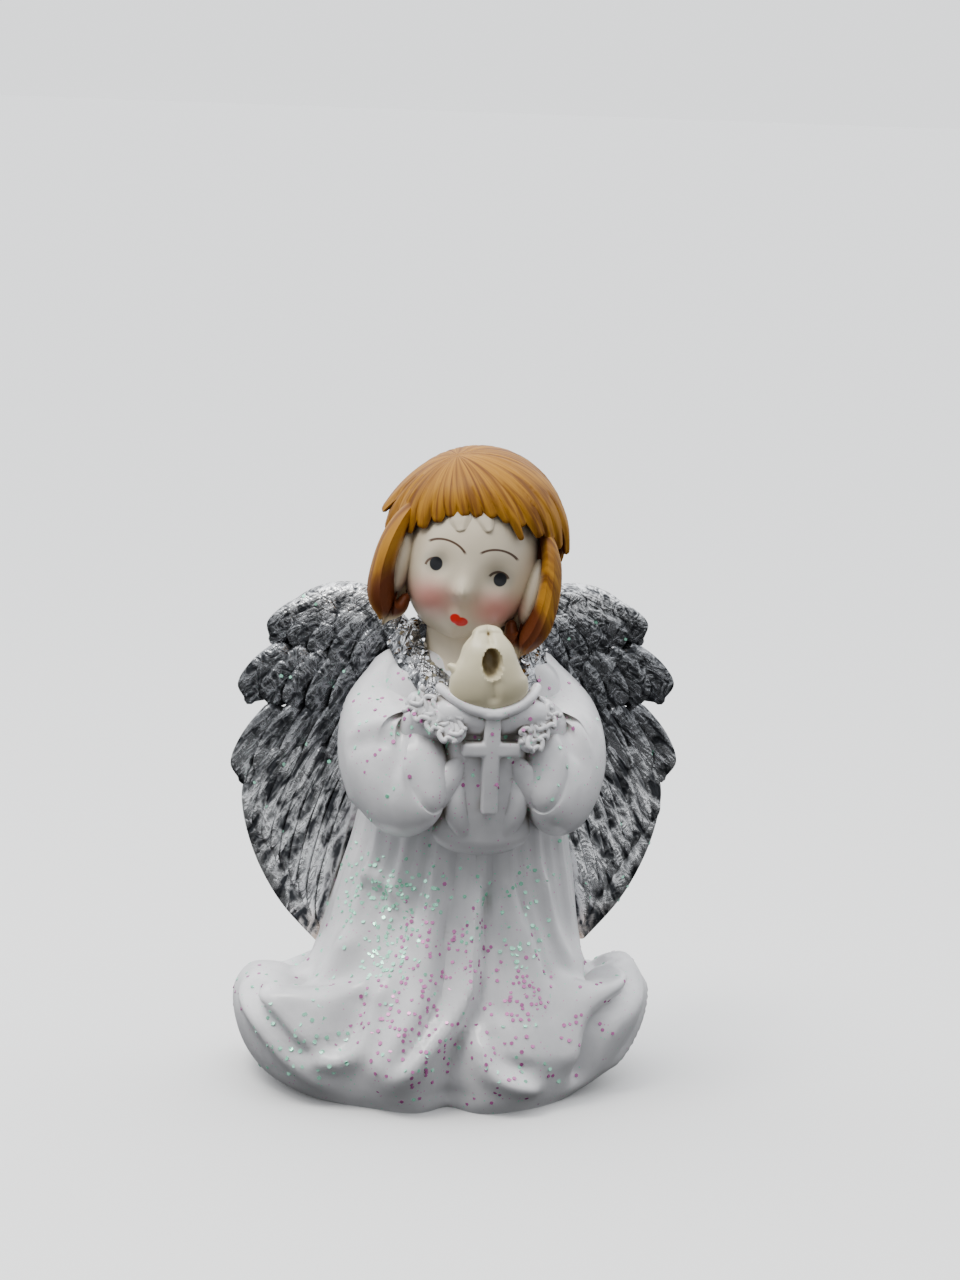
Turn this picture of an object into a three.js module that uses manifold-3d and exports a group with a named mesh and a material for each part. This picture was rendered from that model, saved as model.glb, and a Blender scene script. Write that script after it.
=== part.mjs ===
// Kneeling angel at prayer: a small souvenir figure, cast in polyester resin as one solid and painted.
// Millimetres, +Z up. The figure faces -Y, and the origin lies on the flat underside, below the body.
import * as THREE from "three";
import { LoftGeometry } from "three/addons/geometries/LoftGeometry.js";
import { mergeVertices } from "three/addons/utils/BufferGeometryUtils.js";
import Module from "manifold-3d";

// Driving dimensions

// The robe's outline in four directions, as [radius, height] from the underside up to the neck.
// At the sides the hem sweeps out and turns up like the bow of a boat, more steeply on the figure's left.
const ROBE_RIGHT = [
  [24.4, 0], [27.4, 2], [29.8, 5.5], [31.1, 10], [30.8, 13.4], [28.8, 16], [25, 16.2], [22, 15.6],
  [19.6, 18.8], [17.4, 27], [15.2, 36], [14.4, 43], [14.4, 50], [14.2, 56], [11.8, 61.5], [5, 65],
];
const ROBE_LEFT = [
  [21.6, 0], [24.8, 2.2], [27.2, 5.6], [28.9, 10.4], [29, 14], [27.2, 16.8], [24, 16.6], [21.6, 15.4],
  [19.6, 18.4], [17.4, 27], [15.2, 36], [14.4, 43], [14.4, 50], [14.2, 56], [11.8, 61.5], [5, 65],
];
const ROBE_FRONT = [
  [22, 0], [23.1, 2], [23.4, 4.5], [22.9, 8], [21.8, 11], [20.2, 14.4], [18.9, 17.4], [17.6, 20.4],
  [16.4, 23.8], [14.8, 28.6], [12.9, 36], [12, 43], [11.4, 50], [10.4, 56], [7.8, 61.5], [5, 65],
];
const ROBE_BACK = [
  [19, 0], [20.6, 2], [21.2, 5], [21, 9], [20.2, 12.4], [19.2, 15.6], [18, 18.4], [16.8, 21.4],
  [15.6, 24.8], [14.2, 29.4], [12.2, 36], [11.4, 43], [11, 50], [10, 56], [7.6, 61.5], [5, 65],
];
const HEM_SHIFT_X = -1.6; // the hem lies this far to the figure's right of the upper body
const HEM_SHIFT_TOP = 40; // height where that shift has died away
const LEAN_Y = -4; // how far the shoulders lean forwards
const LEAN_BOTTOM = 22;
const LEAN_TOP = 62;
const KNEE_NOTCH = { angle: -6, depth: 7.5, spread: 8, height: 6 }; // the dip between the two knees
const PLEATS = { count: 17, depth: 0.4, bottom: 21, top: 38 }; // gathers below the waist
const UNROLL_RADIUS = 20; // radius at which angles round the robe are turned into millimetres
const ROBE_FACES = [46, 20]; // around and up

// Drapery: each ridge's height and half width, and its path as [degrees from the front, height].
const FOLDS = [
  { name: "long right fold", size: [1.5, 2.3], path: [[-18, 31], [-14, 22], [-11, 17], [-16, 12], [-28, 6]] },
  { name: "long middle fold", size: [1.6, 2.4], path: [[8, 32], [8, 22], [2, 15], [-7, 10], [-20, 4]] },
  { name: "left knee hem", size: [1.3, 1.9], path: [[4, 11], [8, 6.7], [15, 4.1], [24, 2.8]] },
  { name: "right thigh", size: [1.5, 2.1], path: [[-70, 30], [-54, 31], [-42, 29], [-33, 26], [-22, 22]] },
  { name: "right knee curl", size: [1.8, 1.9], path: [[-38, 19], [-39, 14], [-42, 10], [-52, 7.4]] },
  { name: "right hem crease", size: [1, 1.8], path: [[-80, 14.5], [-64, 10], [-53, 6]] },
  { name: "left hem crease", size: [1, 1.8], path: [[80, 14.5], [66, 9], [55, 5]] },
  { name: "left thigh", size: [1.3, 2.4], path: [[34, 31], [38, 24], [44, 17], [58, 10]] },
  { name: "left knee", size: [1.5, 4.5], path: [[27, 18], [29, 13], [27, 8]] },
  { name: "right knee", size: [1.4, 4], path: [[-29, 20], [-27, 14], [-28, 8]] },
  { name: "back middle fold", size: [1.2, 2.4], path: [[180, 32], [178, 22], [182, 12], [180, 3]] },
  { name: "back right fold", size: [1.2, 2.6], path: [[-154, 32], [-150, 22], [-140, 12], [-132, 4]] },
  { name: "back left fold", size: [1.2, 2.6], path: [[154, 32], [150, 22], [140, 12], [132, 4]] },
];

// The sleeves run from the shoulder, round the elbow, to a wide cuff at the wrist.
// Each station is [across, forward, height, half width, half height], for the side at +X.
const SLEEVE = [
  [9.2, -0.8, 58.2, 5.8, 5.2], [11.8, -4.6, 53.8, 6.7, 6.6], [11.5, -10.4, 49.8, 7.1, 8.6],
  [8.8, -15.4, 48, 6.6, 9.6], [5.8, -18.8, 48.6, 5.4, 9.2], [4.2, -20.4, 49.6, 3.6, 7.4],
];
// The lace edge of the cuff comes down from the wrist to the cross, then narrows to a plain rim.
const LACE = [
  [9.6, -14.4, 59.6, 1.4, 0.9], [8.4, -18.6, 57.8, 2.2, 0.9], [6.8, -22, 55.2, 2.3, 0.9],
  [5.2, -24, 52.2, 1.7, 0.8], [6.4, -23.6, 47.8, 0.9, 0.7], [7.2, -21.8, 43.6, 0.8, 0.7],
  [6.4, -19.4, 40.6, 0.6, 0.6],
];
const SCALLOP = 0.22; // waviness of the lace, as a share of its width
// Cloth that hangs between the cuffs, behind the cross, and the fold at each side of its stem.
const LAP = [
  [0, -19.6, 57, 4.2, 3.2], [0, -20.6, 52.5, 5, 3.2], [0, -20.2, 46, 5.6, 3], [0, -18.6, 39.8, 6.4, 2.8],
];
const LAP_FOLD = [[2.2, -23, 51, 1, 1], [2.7, -22.8, 46, 1.2, 1.2], [4.4, -20.6, 40, 1.4, 1.4]];

// Hands laid palm to palm, with the thumbs on the near side.
const HAND = [
  [3, -20.8, 57.8, 2.7, 2.6], [3.2, -21.8, 60, 2.9, 3.2], [3.3, -22, 62, 2.5, 3.2],
  [2.8, -21.4, 64.6, 1.8, 2.7], [2, -20.4, 66.9, 1.5, 2.1], [1.3, -19.6, 68.4, 1, 1.3],
];
const THUMB = [[4.1, -23, 60, 1.6, 1.6], [2.3, -24.3, 61.4, 1.5, 1.5], [0.8, -24.2, 62.2, 1.1, 1.2]];
const PALM_WEB = { centre: [0, -20, 63], half: [2.8, 1.9, 5.6] }; // closes the pit between the palms

// The cross: arm is the distance from its top to the middle of the bar.
const CROSS = { width: 8.2, height: 13.9, stem: 2.3, bar: 2, arm: 4.7, depth: 2.6, bevel: 0.4 };
const CROSS_FOOT = [0, -24, 44];
const CROSS_LEAN = -4; // degrees, with the top standing forward

const NECK = [[0, -3, 58, 5.4, 5.2], [-1, -4.4, 63, 4.7, 4.5], [-1.8, -5.4, 69, 4.8, 5]];
// A broad band on the shoulders that dips towards the hands in front.
const COLLAR = { centre: [-0.4, -3.5, 65.3], half: [10.4, 10.3], dip: 7.3, band: 2.6, thick: 1, slope: 44 };
const COLLAR_FACES = 18;

// The head, in its own frame: face towards -Y, centre of the skull at the frame's origin.
const HEAD_CENTRE = [-0.5, -5.5, 77.4];
const HEAD_ROLL = 12; // degrees, crown towards the figure's left
const HEAD_YAW = -12; // degrees, face towards the figure's right
const SKULL_HALF = [9.6, 10.6, 12.2];
const HAIR_CENTRE = [0, 1.6, 3];
const HAIR_HALF = [11.7, 11.6, 11.8];
const FACE_TILT = 110; // degrees from the top of the skull forwards to the tip of the nose
const CROWN_TILT = 14; // degrees that the crown, where the locks meet, lies in front of the top

// Gentle swellings and hollows of the face: direction [x, y, z], how far out, and its angular spread.
const FACE_FORMS = [
  { name: "nose", at: [0, -1, -0.33], out: 1.9, spread: 0.14 },
  { name: "nose bridge", at: [0, -1, -0.16], out: 0.5, spread: 0.13 },
  { name: "right cheek", at: [-0.5, -0.82, -0.46], out: 1, spread: 0.36 },
  { name: "left cheek", at: [0.5, -0.82, -0.46], out: 1, spread: 0.36 },
  { name: "right eye hollow", at: [-0.43, -0.95, -0.08], out: -0.7, spread: 0.17 },
  { name: "left eye hollow", at: [0.43, -0.95, -0.08], out: -0.7, spread: 0.17 },
  { name: "lips", at: [0, -1, -0.66], out: 0.7, spread: 0.12 },
  { name: "chin", at: [0, -0.8, -1.05], out: 0.8, spread: 0.2 },
];

// Locks over the crown: how many lie round the head, how far they stand out, and the fall from the crown,
// in degrees, at which they end over the face and over the rest of the head.
const TOP_HAIR = { locks: 16, ridge: 0.9, ends: [60, 84], uneven: 4, flick: 0.9, tuck: 4.5, faces: [32, 14] };
// The bob under them: [reach from the head's axis, height] round the outline of its cut, which is swept
// round the head between two turns from the face.
const BOB = { locks: 8, ridge: 0.5, turns: [62, 298], centreY: 0.8, faces: 16 };
const BOB_CUT = [
  [10.6, 5], [12.5, 1.2], [13.2, -3.4], [12.6, -7.4], [10.4, -9.8],
  [8.4, -8.6], [8.6, -5.4], [9, -1], [8.6, 4],
];

// The wings, for the wing at +X: [across, height] in the wing's plane.
const WING_RIM = [[4, 53], [8, 62.4], [13, 68.2], [17.6, 69.2], [21.6, 67.8], [24.6, 65.4]];
const WING_RIM_HALF = [3, 2.6, 2.1, 1.9, 1.5, 0.8];
// Rows of feathers from the longest up. First and last: [root across, root height, tip across, tip height].
// Size: the widest breadth, the thickness at the root, and the faces along the feather.
const FEATHER_ROWS = [
  { name: "primaries", count: 5, first: [13, 46, 18.8, 18.6], last: [25, 45, 28.2, 33], size: [7.8, 2.9, 4] },
  { name: "secondaries", count: 4, first: [11.4, 52, 14.4, 38], last: [26, 51, 31, 41], size: [7.4, 3.2, 3] },
  { name: "long coverts", count: 4, first: [11, 59, 13.4, 49], last: [25, 60, 30.4, 53], size: [7.4, 4, 3] },
  { name: "coverts", count: 3, first: [11.4, 66, 14.6, 57.4], last: [20, 67.6, 27, 62], size: [7, 4.8, 3] },
];
const WING_SPREAD = { left: 1.06, right: 0.985 }; // the figure's left wing is spread wider
const WING_ROOT_Y = 5;
const WING_SWEEP = 7.5; // how far the wing runs back between its root and its outer edge
const WING_FROM = 6;
const WING_TO = 30;
const WING_TIP_FORWARD = 3; // the lower tips come forward to the hem
const WING_TIP_FROM = 44;
const WING_TIP_TO = 18;

const RESIN = { color: 0xe9e7ea, roughness: 0.45, metalness: 0 };

// Small helpers

const wasm = await Module();
wasm.setup();

const radians = THREE.MathUtils.degToRad;
const smooth = THREE.MathUtils.smoothstep;
const lerp = THREE.MathUtils.lerp;
const vector = (point) => new THREE.Vector3(...point);

// A closed geometry as a solid. Points that coincide are merged, and faces that shrink to a line are dropped.
function solid(geometry) {
  const bare = new THREE.BufferGeometry().setAttribute("position", geometry.getAttribute("position"));
  bare.setIndex(geometry.index);
  const merged = mergeVertices(bare, 1e-4);
  const corners = merged.index.array;
  const kept = [];
  for (let i = 0; i < corners.length; i += 3) {
    const [a, b, c] = corners.slice(i, i + 3);
    if (a !== b && b !== c && c !== a) kept.push(a, b, c);
  }
  const mesh = new wasm.Mesh({
    numProp: 3,
    vertProperties: merged.getAttribute("position").array,
    triVerts: new Uint32Array(kept),
  });
  return new wasm.Manifold(mesh);
}

const join = (solids) => solids.reduce((whole, one) => whole.add(one));

// Value of a list of control values at t from 0 to 1, on a smooth curve through them.
function valueAt(values, t) {
  const points = values.map((value) => new THREE.Vector2(value, 0));
  return new THREE.SplineCurve(points).getPoint(t).x;
}

// Share of an oval limb's end that is rounded off, the rest being a small flat.
const CAP_ROUNDING = 0.9;

// An oval limb through stations of [x, y, z, half width, half height], closed at both ends by round caps.
// flat turns the oval sections: their height runs along that direction, square to the limb's own.
// wave changes a section's size by its share of the length and the turn round it.
function limb(stations, { sides, steps, flat, capSteps = 2, wave = () => 1 }) {
  const curve = new THREE.CatmullRomCurve3(stations.map((s) => vector(s)));
  const widths = stations.map((s) => s[3]);
  const heights = stations.map((s) => s[4]);
  const places = [];
  for (let i = capSteps; i > 0; i--) places.push({ t: 0, cap: -i / capSteps });
  for (let i = 0; i <= steps; i++) places.push({ t: i / steps, cap: 0 });
  for (let i = 1; i <= capSteps; i++) places.push({ t: 1, cap: i / capSteps });
  const sections = places.map(({ t, cap }) => {
    const along = curve.getTangent(t);
    const across = vector(flat).cross(along).normalize();
    const upright = along.clone().cross(across);
    const shrink = Math.sqrt(1 - CAP_ROUNDING * cap * cap);
    const halfWidth = valueAt(widths, t);
    const halfHeight = valueAt(heights, t);
    const middle = curve.getPoint(t).addScaledVector(along, cap * Math.min(halfWidth, halfHeight));
    return Array.from({ length: sides }, (_, k) => {
      const turn = (2 * Math.PI * k) / sides;
      const size = shrink * wave(t, turn);
      const point = middle.clone().addScaledVector(across, size * halfWidth * Math.cos(turn));
      return point.addScaledVector(upright, size * halfHeight * Math.sin(turn));
    });
  });
  return solid(new LoftGeometry(sections, { capStart: true, capEnd: true }));
}

// An egg-shaped lump whose pole leans forwards by tilt degrees. reach changes how far each place stands out:
// it gets the unit direction as seen from the pole, and as it lies in the end.
function lump(centre, half, { around, down, tilt = 0, reach = () => 0 }) {
  const geometry = new THREE.SphereGeometry(1, around, down);
  const position = geometry.getAttribute("position");
  const point = new THREE.Vector3();
  for (let i = 0; i < position.count; i++) {
    point.fromBufferAttribute(position, i);
    const level = new THREE.Vector3(point.x, -point.z, point.y).normalize();
    const unit = level.clone().applyAxisAngle(new THREE.Vector3(1, 0, 0), radians(tilt));
    point.copy(unit).multiply(vector(half)).addScaledVector(unit, reach(level, unit)).add(vector(centre));
    position.setXYZ(i, point.x, point.y, point.z);
  }
  return solid(geometry);
}

// Robe

// Shares of the four outlines at an angle from the front, in radians.
function robeShares(angle) {
  const side = smooth(Math.abs(Math.sin(angle)), 0.56, 0.97);
  const front = (1 - side) * smooth(Math.cos(angle), -0.3, 0.3);
  const left = Math.sin(angle) > 0 ? side : 0;
  return [side - left, left, front, 1 - side - front];
}

const robeCurves = [ROBE_RIGHT, ROBE_LEFT, ROBE_FRONT, ROBE_BACK].map(
  (outline) => new THREE.SplineCurve(outline.map(([r, z]) => new THREE.Vector2(r, z))),
);

// Points along a fold's path, as millimetres round the robe and height.
function foldTrack(fold) {
  const places = fold.path.map(([turn, z]) => new THREE.Vector2(radians(turn) * UNROLL_RADIUS, z));
  return new THREE.SplineCurve(places).getPoints(20);
}

const foldTracks = FOLDS.map((fold) => ({ ...fold, track: foldTrack(fold) }));

function distanceToTrack(track, arc, z) {
  const lap = 2 * Math.PI * UNROLL_RADIUS;
  let nearest = Infinity;
  for (const point of track) {
    const gap = Math.abs(arc - point.x) % lap;
    nearest = Math.min(nearest, Math.hypot(Math.min(gap, lap - gap), z - point.y));
  }
  return nearest;
}

// How far the drapery stands off the robe's plain form.
function drapery(angle, z) {
  const arc = angle * UNROLL_RADIUS;
  let out = 0;
  for (const { track, size } of foldTracks) {
    const off = distanceToTrack(track, arc, z) / size[1];
    out += size[0] * Math.exp(-off * off);
  }
  const gathered = smooth(z, PLEATS.bottom, PLEATS.top - 6) * (1 - smooth(z, PLEATS.top, PLEATS.top + 4));
  out += PLEATS.depth * gathered * Math.cos(PLEATS.count * angle);
  const fromNotch = (angle - radians(KNEE_NOTCH.angle)) / radians(KNEE_NOTCH.spread);
  out -= KNEE_NOTCH.depth * Math.exp(-fromNotch * fromNotch - z / KNEE_NOTCH.height);
  return out;
}

function robePoint(angle, t) {
  const shares = robeShares(angle);
  const plain = new THREE.Vector2();
  robeCurves.forEach((curve, i) => plain.addScaledVector(curve.getPoint(t), shares[i]));
  const z = Math.max(0, plain.y);
  const onFloor = smooth(z, 0, 3);
  const radius = plain.x + drapery(angle, z) * lerp(0.55, 1, onFloor);
  const shiftX = HEM_SHIFT_X * (1 - smooth(z, 0, HEM_SHIFT_TOP));
  const leanY = LEAN_Y * smooth(z, LEAN_BOTTOM, LEAN_TOP);
  return new THREE.Vector3(shiftX + radius * Math.sin(angle), leanY - radius * Math.cos(angle), z);
}

function robe() {
  const [around, up] = ROBE_FACES;
  const sections = [];
  for (let i = 0; i <= up; i++) {
    const ring = [];
    for (let k = 0; k < around; k++) ring.push(robePoint((2 * Math.PI * k) / around - Math.PI, i / up));
    sections.push(ring);
  }
  return solid(new LoftGeometry(sections, { capStart: true, capEnd: true }));
}

// Sleeves, cuffs and the cloth between them

const onSide = (stations, side) => stations.map(([x, ...rest]) => [side * x, ...rest]);

function sleeve(side) {
  return limb(onSide(SLEEVE, side), { sides: 12, steps: 7, flat: [0, 0.4, 1], capSteps: 1 });
}

function lace(side) {
  const wave = (share, turn) => 1 + SCALLOP * Math.sin(26 * share + 2 * turn) * (1 - share);
  return limb(onSide(LACE, side), { sides: 5, steps: 11, flat: [-0.6 * side, -1, 0.4], capSteps: 1, wave });
}

function lap() {
  return limb(LAP, { sides: 10, steps: 4, flat: [0, -1, 0], capSteps: 1 });
}

function lapFold(side) {
  return limb(onSide(LAP_FOLD, side), { sides: 6, steps: 3, flat: [0, -1, 0], capSteps: 1 });
}

// Hands and cross

function hand(side) {
  return [
    limb(onSide(HAND, side), { sides: 8, steps: 6, flat: [0, -1, 0] }),
    limb(onSide(THUMB, side), { sides: 6, steps: 4, flat: [0, 0, 1], capSteps: 1 }),
  ];
}

function palmWeb() {
  return lump(PALM_WEB.centre, PALM_WEB.half, { around: 8, down: 6 });
}

function cross() {
  const { width, height, stem, bar, arm, depth, bevel } = CROSS;
  const half = stem / 2 - bevel;
  const armTop = height - arm + bar / 2 - bevel;
  const armBottom = height - arm - bar / 2 + bevel;
  const reach = width / 2 - bevel;
  const outline = new THREE.Shape([
    new THREE.Vector2(-half, bevel),
    new THREE.Vector2(half, bevel),
    new THREE.Vector2(half, armBottom),
    new THREE.Vector2(reach, armBottom),
    new THREE.Vector2(reach, armTop),
    new THREE.Vector2(half, armTop),
    new THREE.Vector2(half, height - bevel),
    new THREE.Vector2(-half, height - bevel),
    new THREE.Vector2(-half, armTop),
    new THREE.Vector2(-reach, armTop),
    new THREE.Vector2(-reach, armBottom),
    new THREE.Vector2(-half, armBottom),
  ]);
  const plate = new THREE.ExtrudeGeometry(outline, {
    depth: depth - 2 * bevel,
    bevelSize: bevel,
    bevelThickness: bevel,
    bevelSegments: 1,
  });
  plate.translate(0, 0, bevel - depth);
  plate.rotateX(Math.PI / 2 + radians(CROSS_LEAN));
  plate.translate(...CROSS_FOOT);
  return solid(plate);
}

// Neck and collar

function neck() {
  return limb(NECK, { sides: 10, steps: 3, flat: [0, 1, 0], capSteps: 1 });
}

function collar() {
  const { centre, half, dip, band, thick, slope } = COLLAR;
  const sections = [];
  for (let k = 0; k <= COLLAR_FACES; k++) {
    const turn = (2 * Math.PI * k) / COLLAR_FACES;
    const outward = new THREE.Vector3(Math.cos(turn), Math.sin(turn), 0);
    const low = dip * Math.max(0, -outward.y) ** 1.3;
    const middle = vector(centre).add(new THREE.Vector3(half[0] * outward.x, half[1] * outward.y, -low));
    const fall = outward.clone().multiplyScalar(Math.cos(radians(slope)));
    fall.z = -Math.sin(radians(slope));
    const face = outward.clone().multiplyScalar(Math.sin(radians(slope)));
    face.z = Math.cos(radians(slope));
    const ring = [];
    for (let j = 0; j < 6; j++) {
      const roll = (-2 * Math.PI * j) / 6;
      const point = middle.clone().addScaledVector(fall, band * Math.cos(roll));
      ring.push(point.addScaledVector(face, thick * Math.sin(roll)));
    }
    sections.push(ring);
  }
  return solid(new LoftGeometry(sections));
}

// Head and hair, made in the head's own frame and then turned into place

const faceForms = FACE_FORMS.map((form) => ({ ...form, at: vector(form.at).normalize() }));

function faceReach(level, unit) {
  let out = 0;
  for (const { at, out: swell, spread } of faceForms) {
    const off = unit.angleTo(at) / spread;
    out += swell * Math.exp(-off * off);
  }
  return out;
}

function skull() {
  return lump([0, 0, 0], SKULL_HALF, { around: 28, down: 17, tilt: FACE_TILT, reach: faceReach });
}

// The hair over the crown: ridged locks that end in a broken edge, lift at their tips, and tuck in below.
function topHair() {
  const { locks, ridge, ends, uneven, flick, tuck, faces } = TOP_HAIR;
  const reach = (level) => {
    const turn = Math.atan2(level.x, -level.y);
    const fall = THREE.MathUtils.radToDeg(Math.acos(THREE.MathUtils.clamp(level.z, -1, 1)));
    const aside = smooth(Math.abs(turn), 0.6, 1.5);
    const wave = Math.cos(locks * turn);
    const end = lerp(...ends, aside) + uneven * wave;
    const body = ridge * wave * smooth(fall, 0, 40);
    const beside = aside * (1 - smooth(Math.abs(turn), 1.9, 2.6));
    const lifted = flick * beside * smooth(fall, end - 22, end);
    return body + (lifted + tuck) * (1 - smooth(fall, end, end + 9)) - tuck;
  };
  const [around, down] = faces;
  return lump(HAIR_CENTRE, HAIR_HALF.map((half) => half + 0.6), { around, down, reach, tilt: CROWN_TILT });
}

// The bob: one cut swept round the back of the head, ridged into locks that roll inwards at their ends.
function bob() {
  const { locks, ridge, turns, centreY, faces } = BOB;
  const sections = [];
  for (let i = 0; i <= faces; i++) {
    const share = i / faces;
    const turn = radians(lerp(...turns, share));
    const swell = ridge * Math.cos(2 * Math.PI * locks * share);
    sections.push(
      BOB_CUT.map(([reach, z]) => {
        const out = reach + (reach > 10 ? swell : 0);
        return new THREE.Vector3(out * Math.sin(turn), centreY - out * Math.cos(turn), z);
      }),
    );
  }
  return solid(new LoftGeometry(sections, { capStart: true, capEnd: true }));
}

function head() {
  const turned = new THREE.Matrix4()
    .makeRotationZ(radians(HEAD_YAW))
    .multiply(new THREE.Matrix4().makeRotationY(radians(HEAD_ROLL)))
    .setPosition(...HEAD_CENTRE);
  return join([skull(), topHair(), bob()]).transform(turned.toArray());
}

// Wings

// Depth of the wing's middle surface at a place of its plane.
function wingDepth(across, height) {
  const out = THREE.MathUtils.clamp((across - WING_FROM) / (WING_TO - WING_FROM), 0, 1);
  const swept = WING_SWEEP * Math.sin((out * Math.PI) / 2);
  const forward = WING_TIP_FORWARD * (1 - smooth(height, WING_TIP_TO, WING_TIP_FROM));
  return WING_ROOT_Y + swept - forward;
}

function wingPoint(across, height, side) {
  const spread = side > 0 ? WING_SPREAD.left : WING_SPREAD.right;
  return [side * spread * across, wingDepth(across, height), height];
}

function wingRim(side) {
  const stations = WING_RIM.map((place, i) => {
    const half = WING_RIM_HALF[i];
    return [...wingPoint(...place, side), half, half];
  });
  return limb(stations, { sides: 6, steps: 7, flat: [0, 1, 0], capSteps: 1 });
}

// A feather: broad to the middle, rounded at its tip, with a keel along its shaft.
function feather([rootX, rootZ, tipX, tipZ], [wide, thick, steps], side) {
  const stations = [];
  const last = 5;
  for (let i = 0; i <= last; i++) {
    const share = i / last;
    const across = lerp(rootX, tipX, share) + 0.7 * Math.sin(Math.PI * share);
    const height = lerp(rootZ, tipZ, share);
    const breadth = 0.62 + 0.38 * Math.sin(Math.PI * Math.min(1, 0.15 + 0.6 * share));
    const tip = Math.sqrt(Math.max(0.06, 1 - Math.max(0, (share - 0.7) / 0.32) ** 2));
    const halfThick = 0.5 * thick * (1 - 0.45 * share);
    stations.push([...wingPoint(across, height, side), 0.5 * wide * breadth * tip, halfThick]);
  }
  return limb(stations, { sides: 4, steps, flat: [0, 1, 0], capSteps: 0 });
}

function featherRow(row, side) {
  const { count, first, last } = row;
  return Array.from({ length: count }, (_, i) => {
    const place = first.map((value, k) => lerp(value, last[k], i / (count - 1)));
    return feather(place, row.size, side);
  });
}

function wing(side) {
  return join([wingRim(side), ...FEATHER_ROWS.flatMap((row) => featherRow(row, side))]);
}

// The whole casting

function casting() {
  const both = [-1, 1];
  return join([
    robe(),
    ...both.map(sleeve),
    ...both.map(lace),
    lap(),
    ...both.map(lapFold),
    ...both.flatMap(hand),
    palmWeb(),
    cross(),
    neck(),
    collar(),
    head(),
    ...both.map(wing),
  ]);
}

function toGeometry(whole) {
  const mesh = whole.getMesh();
  const points = new Float32Array(mesh.numVert * 3);
  for (let i = 0; i < mesh.numVert; i++) {
    points.set(mesh.vertProperties.subarray(i * mesh.numProp, i * mesh.numProp + 3), i * 3);
  }
  const geometry = new THREE.BufferGeometry();
  geometry.setAttribute("position", new THREE.BufferAttribute(points, 3));
  geometry.setIndex(new THREE.BufferAttribute(mesh.triVerts, 1));
  geometry.computeVertexNormals();
  return geometry;
}

const figure = new THREE.Mesh(toGeometry(casting()), new THREE.MeshStandardMaterial(RESIN));
figure.name = "angel_figure";

const angel = new THREE.Group();
angel.add(figure);

export default angel;
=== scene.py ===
import math

import bmesh
import bpy
import numpy as np
from mathutils import Euler, Matrix, Vector
from mathutils.bvhtree import BVHTree


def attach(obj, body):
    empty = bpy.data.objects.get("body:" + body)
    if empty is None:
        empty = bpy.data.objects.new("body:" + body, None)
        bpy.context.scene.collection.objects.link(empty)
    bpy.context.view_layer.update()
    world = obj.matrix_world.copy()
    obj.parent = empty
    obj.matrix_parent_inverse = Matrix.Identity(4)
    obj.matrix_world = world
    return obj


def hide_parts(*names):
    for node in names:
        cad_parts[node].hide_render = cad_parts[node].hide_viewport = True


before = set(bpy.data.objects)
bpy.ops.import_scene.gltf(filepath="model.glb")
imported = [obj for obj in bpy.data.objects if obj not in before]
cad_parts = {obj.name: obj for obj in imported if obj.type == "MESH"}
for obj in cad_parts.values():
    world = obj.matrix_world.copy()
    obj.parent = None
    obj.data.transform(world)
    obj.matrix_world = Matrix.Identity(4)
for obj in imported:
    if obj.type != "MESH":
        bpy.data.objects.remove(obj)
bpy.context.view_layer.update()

# A small souvenir angel: one casting of polyester resin, painted by hand, with glitter on the wet lacquer.
# Forms are laid out in millimetres, with the figure facing -Y, and brought to metres once they are fused.
MM = 0.001
draw = np.random.default_rng(11)

# The casting's sizes

# Outlines of the robe, from hem to neck, as (distance from the middle, height). Both sides end alike.
ROBE_TOP = [(17.4, 27), (15.2, 36), (14.4, 43), (14.4, 50), (14.2, 56), (11.8, 61.5), (5, 65)]
ROBE_RIGHT = [
    (24.4, 0), (27.4, 2), (29.8, 5.5), (31.1, 10), (30.8, 13.4), (28.8, 16), (25, 16.2), (22, 15.6),
    (19.6, 18.8), *ROBE_TOP,
]
ROBE_LEFT = [
    (21.6, 0), (24.8, 2.2), (27.2, 5.6), (28.9, 10.4), (29, 14), (27.2, 16.8), (24, 16.6), (21.6, 15.4),
    (19.6, 18.4), *ROBE_TOP,
]
ROBE_FRONT = [
    (22, 0), (23.1, 2), (23.4, 4.5), (22.9, 8), (21.8, 11), (20.2, 14.4), (18.9, 17.4), (17.6, 20.4),
    (16.4, 23.8), (14.8, 28.6), (12.9, 36), (12, 43), (11.4, 50), (10.4, 56), (7.8, 61.5), (5, 65),
]
ROBE_BACK = [
    (19, 0), (20.6, 2), (21.2, 5), (21, 9), (20.2, 12.4), (19.2, 15.6), (18, 18.4), (16.8, 21.4),
    (15.6, 24.8), (14.2, 29.4), (12.2, 36), (11.4, 43), (11, 50), (10, 56), (7.6, 61.5), (5, 65),
]
UNROLL = 20  # radius at which degrees round the robe become millimetres
ROBE_MESH = (180, 116)  # steps round the robe, and rings
LOBE_DROP = {"depth": 4.4, "height": 16, "spread": 4.5}  # how far the turned-up lobes sink behind
KNEE_NOTCH = {"turn": math.radians(-6), "half": math.radians(8), "depth": 7.5, "fade": 6}  # between the knees
GATHERS = ((0.4, 17), (0.2, 41))  # depth and number of the fine pleats below the sleeves

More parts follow.
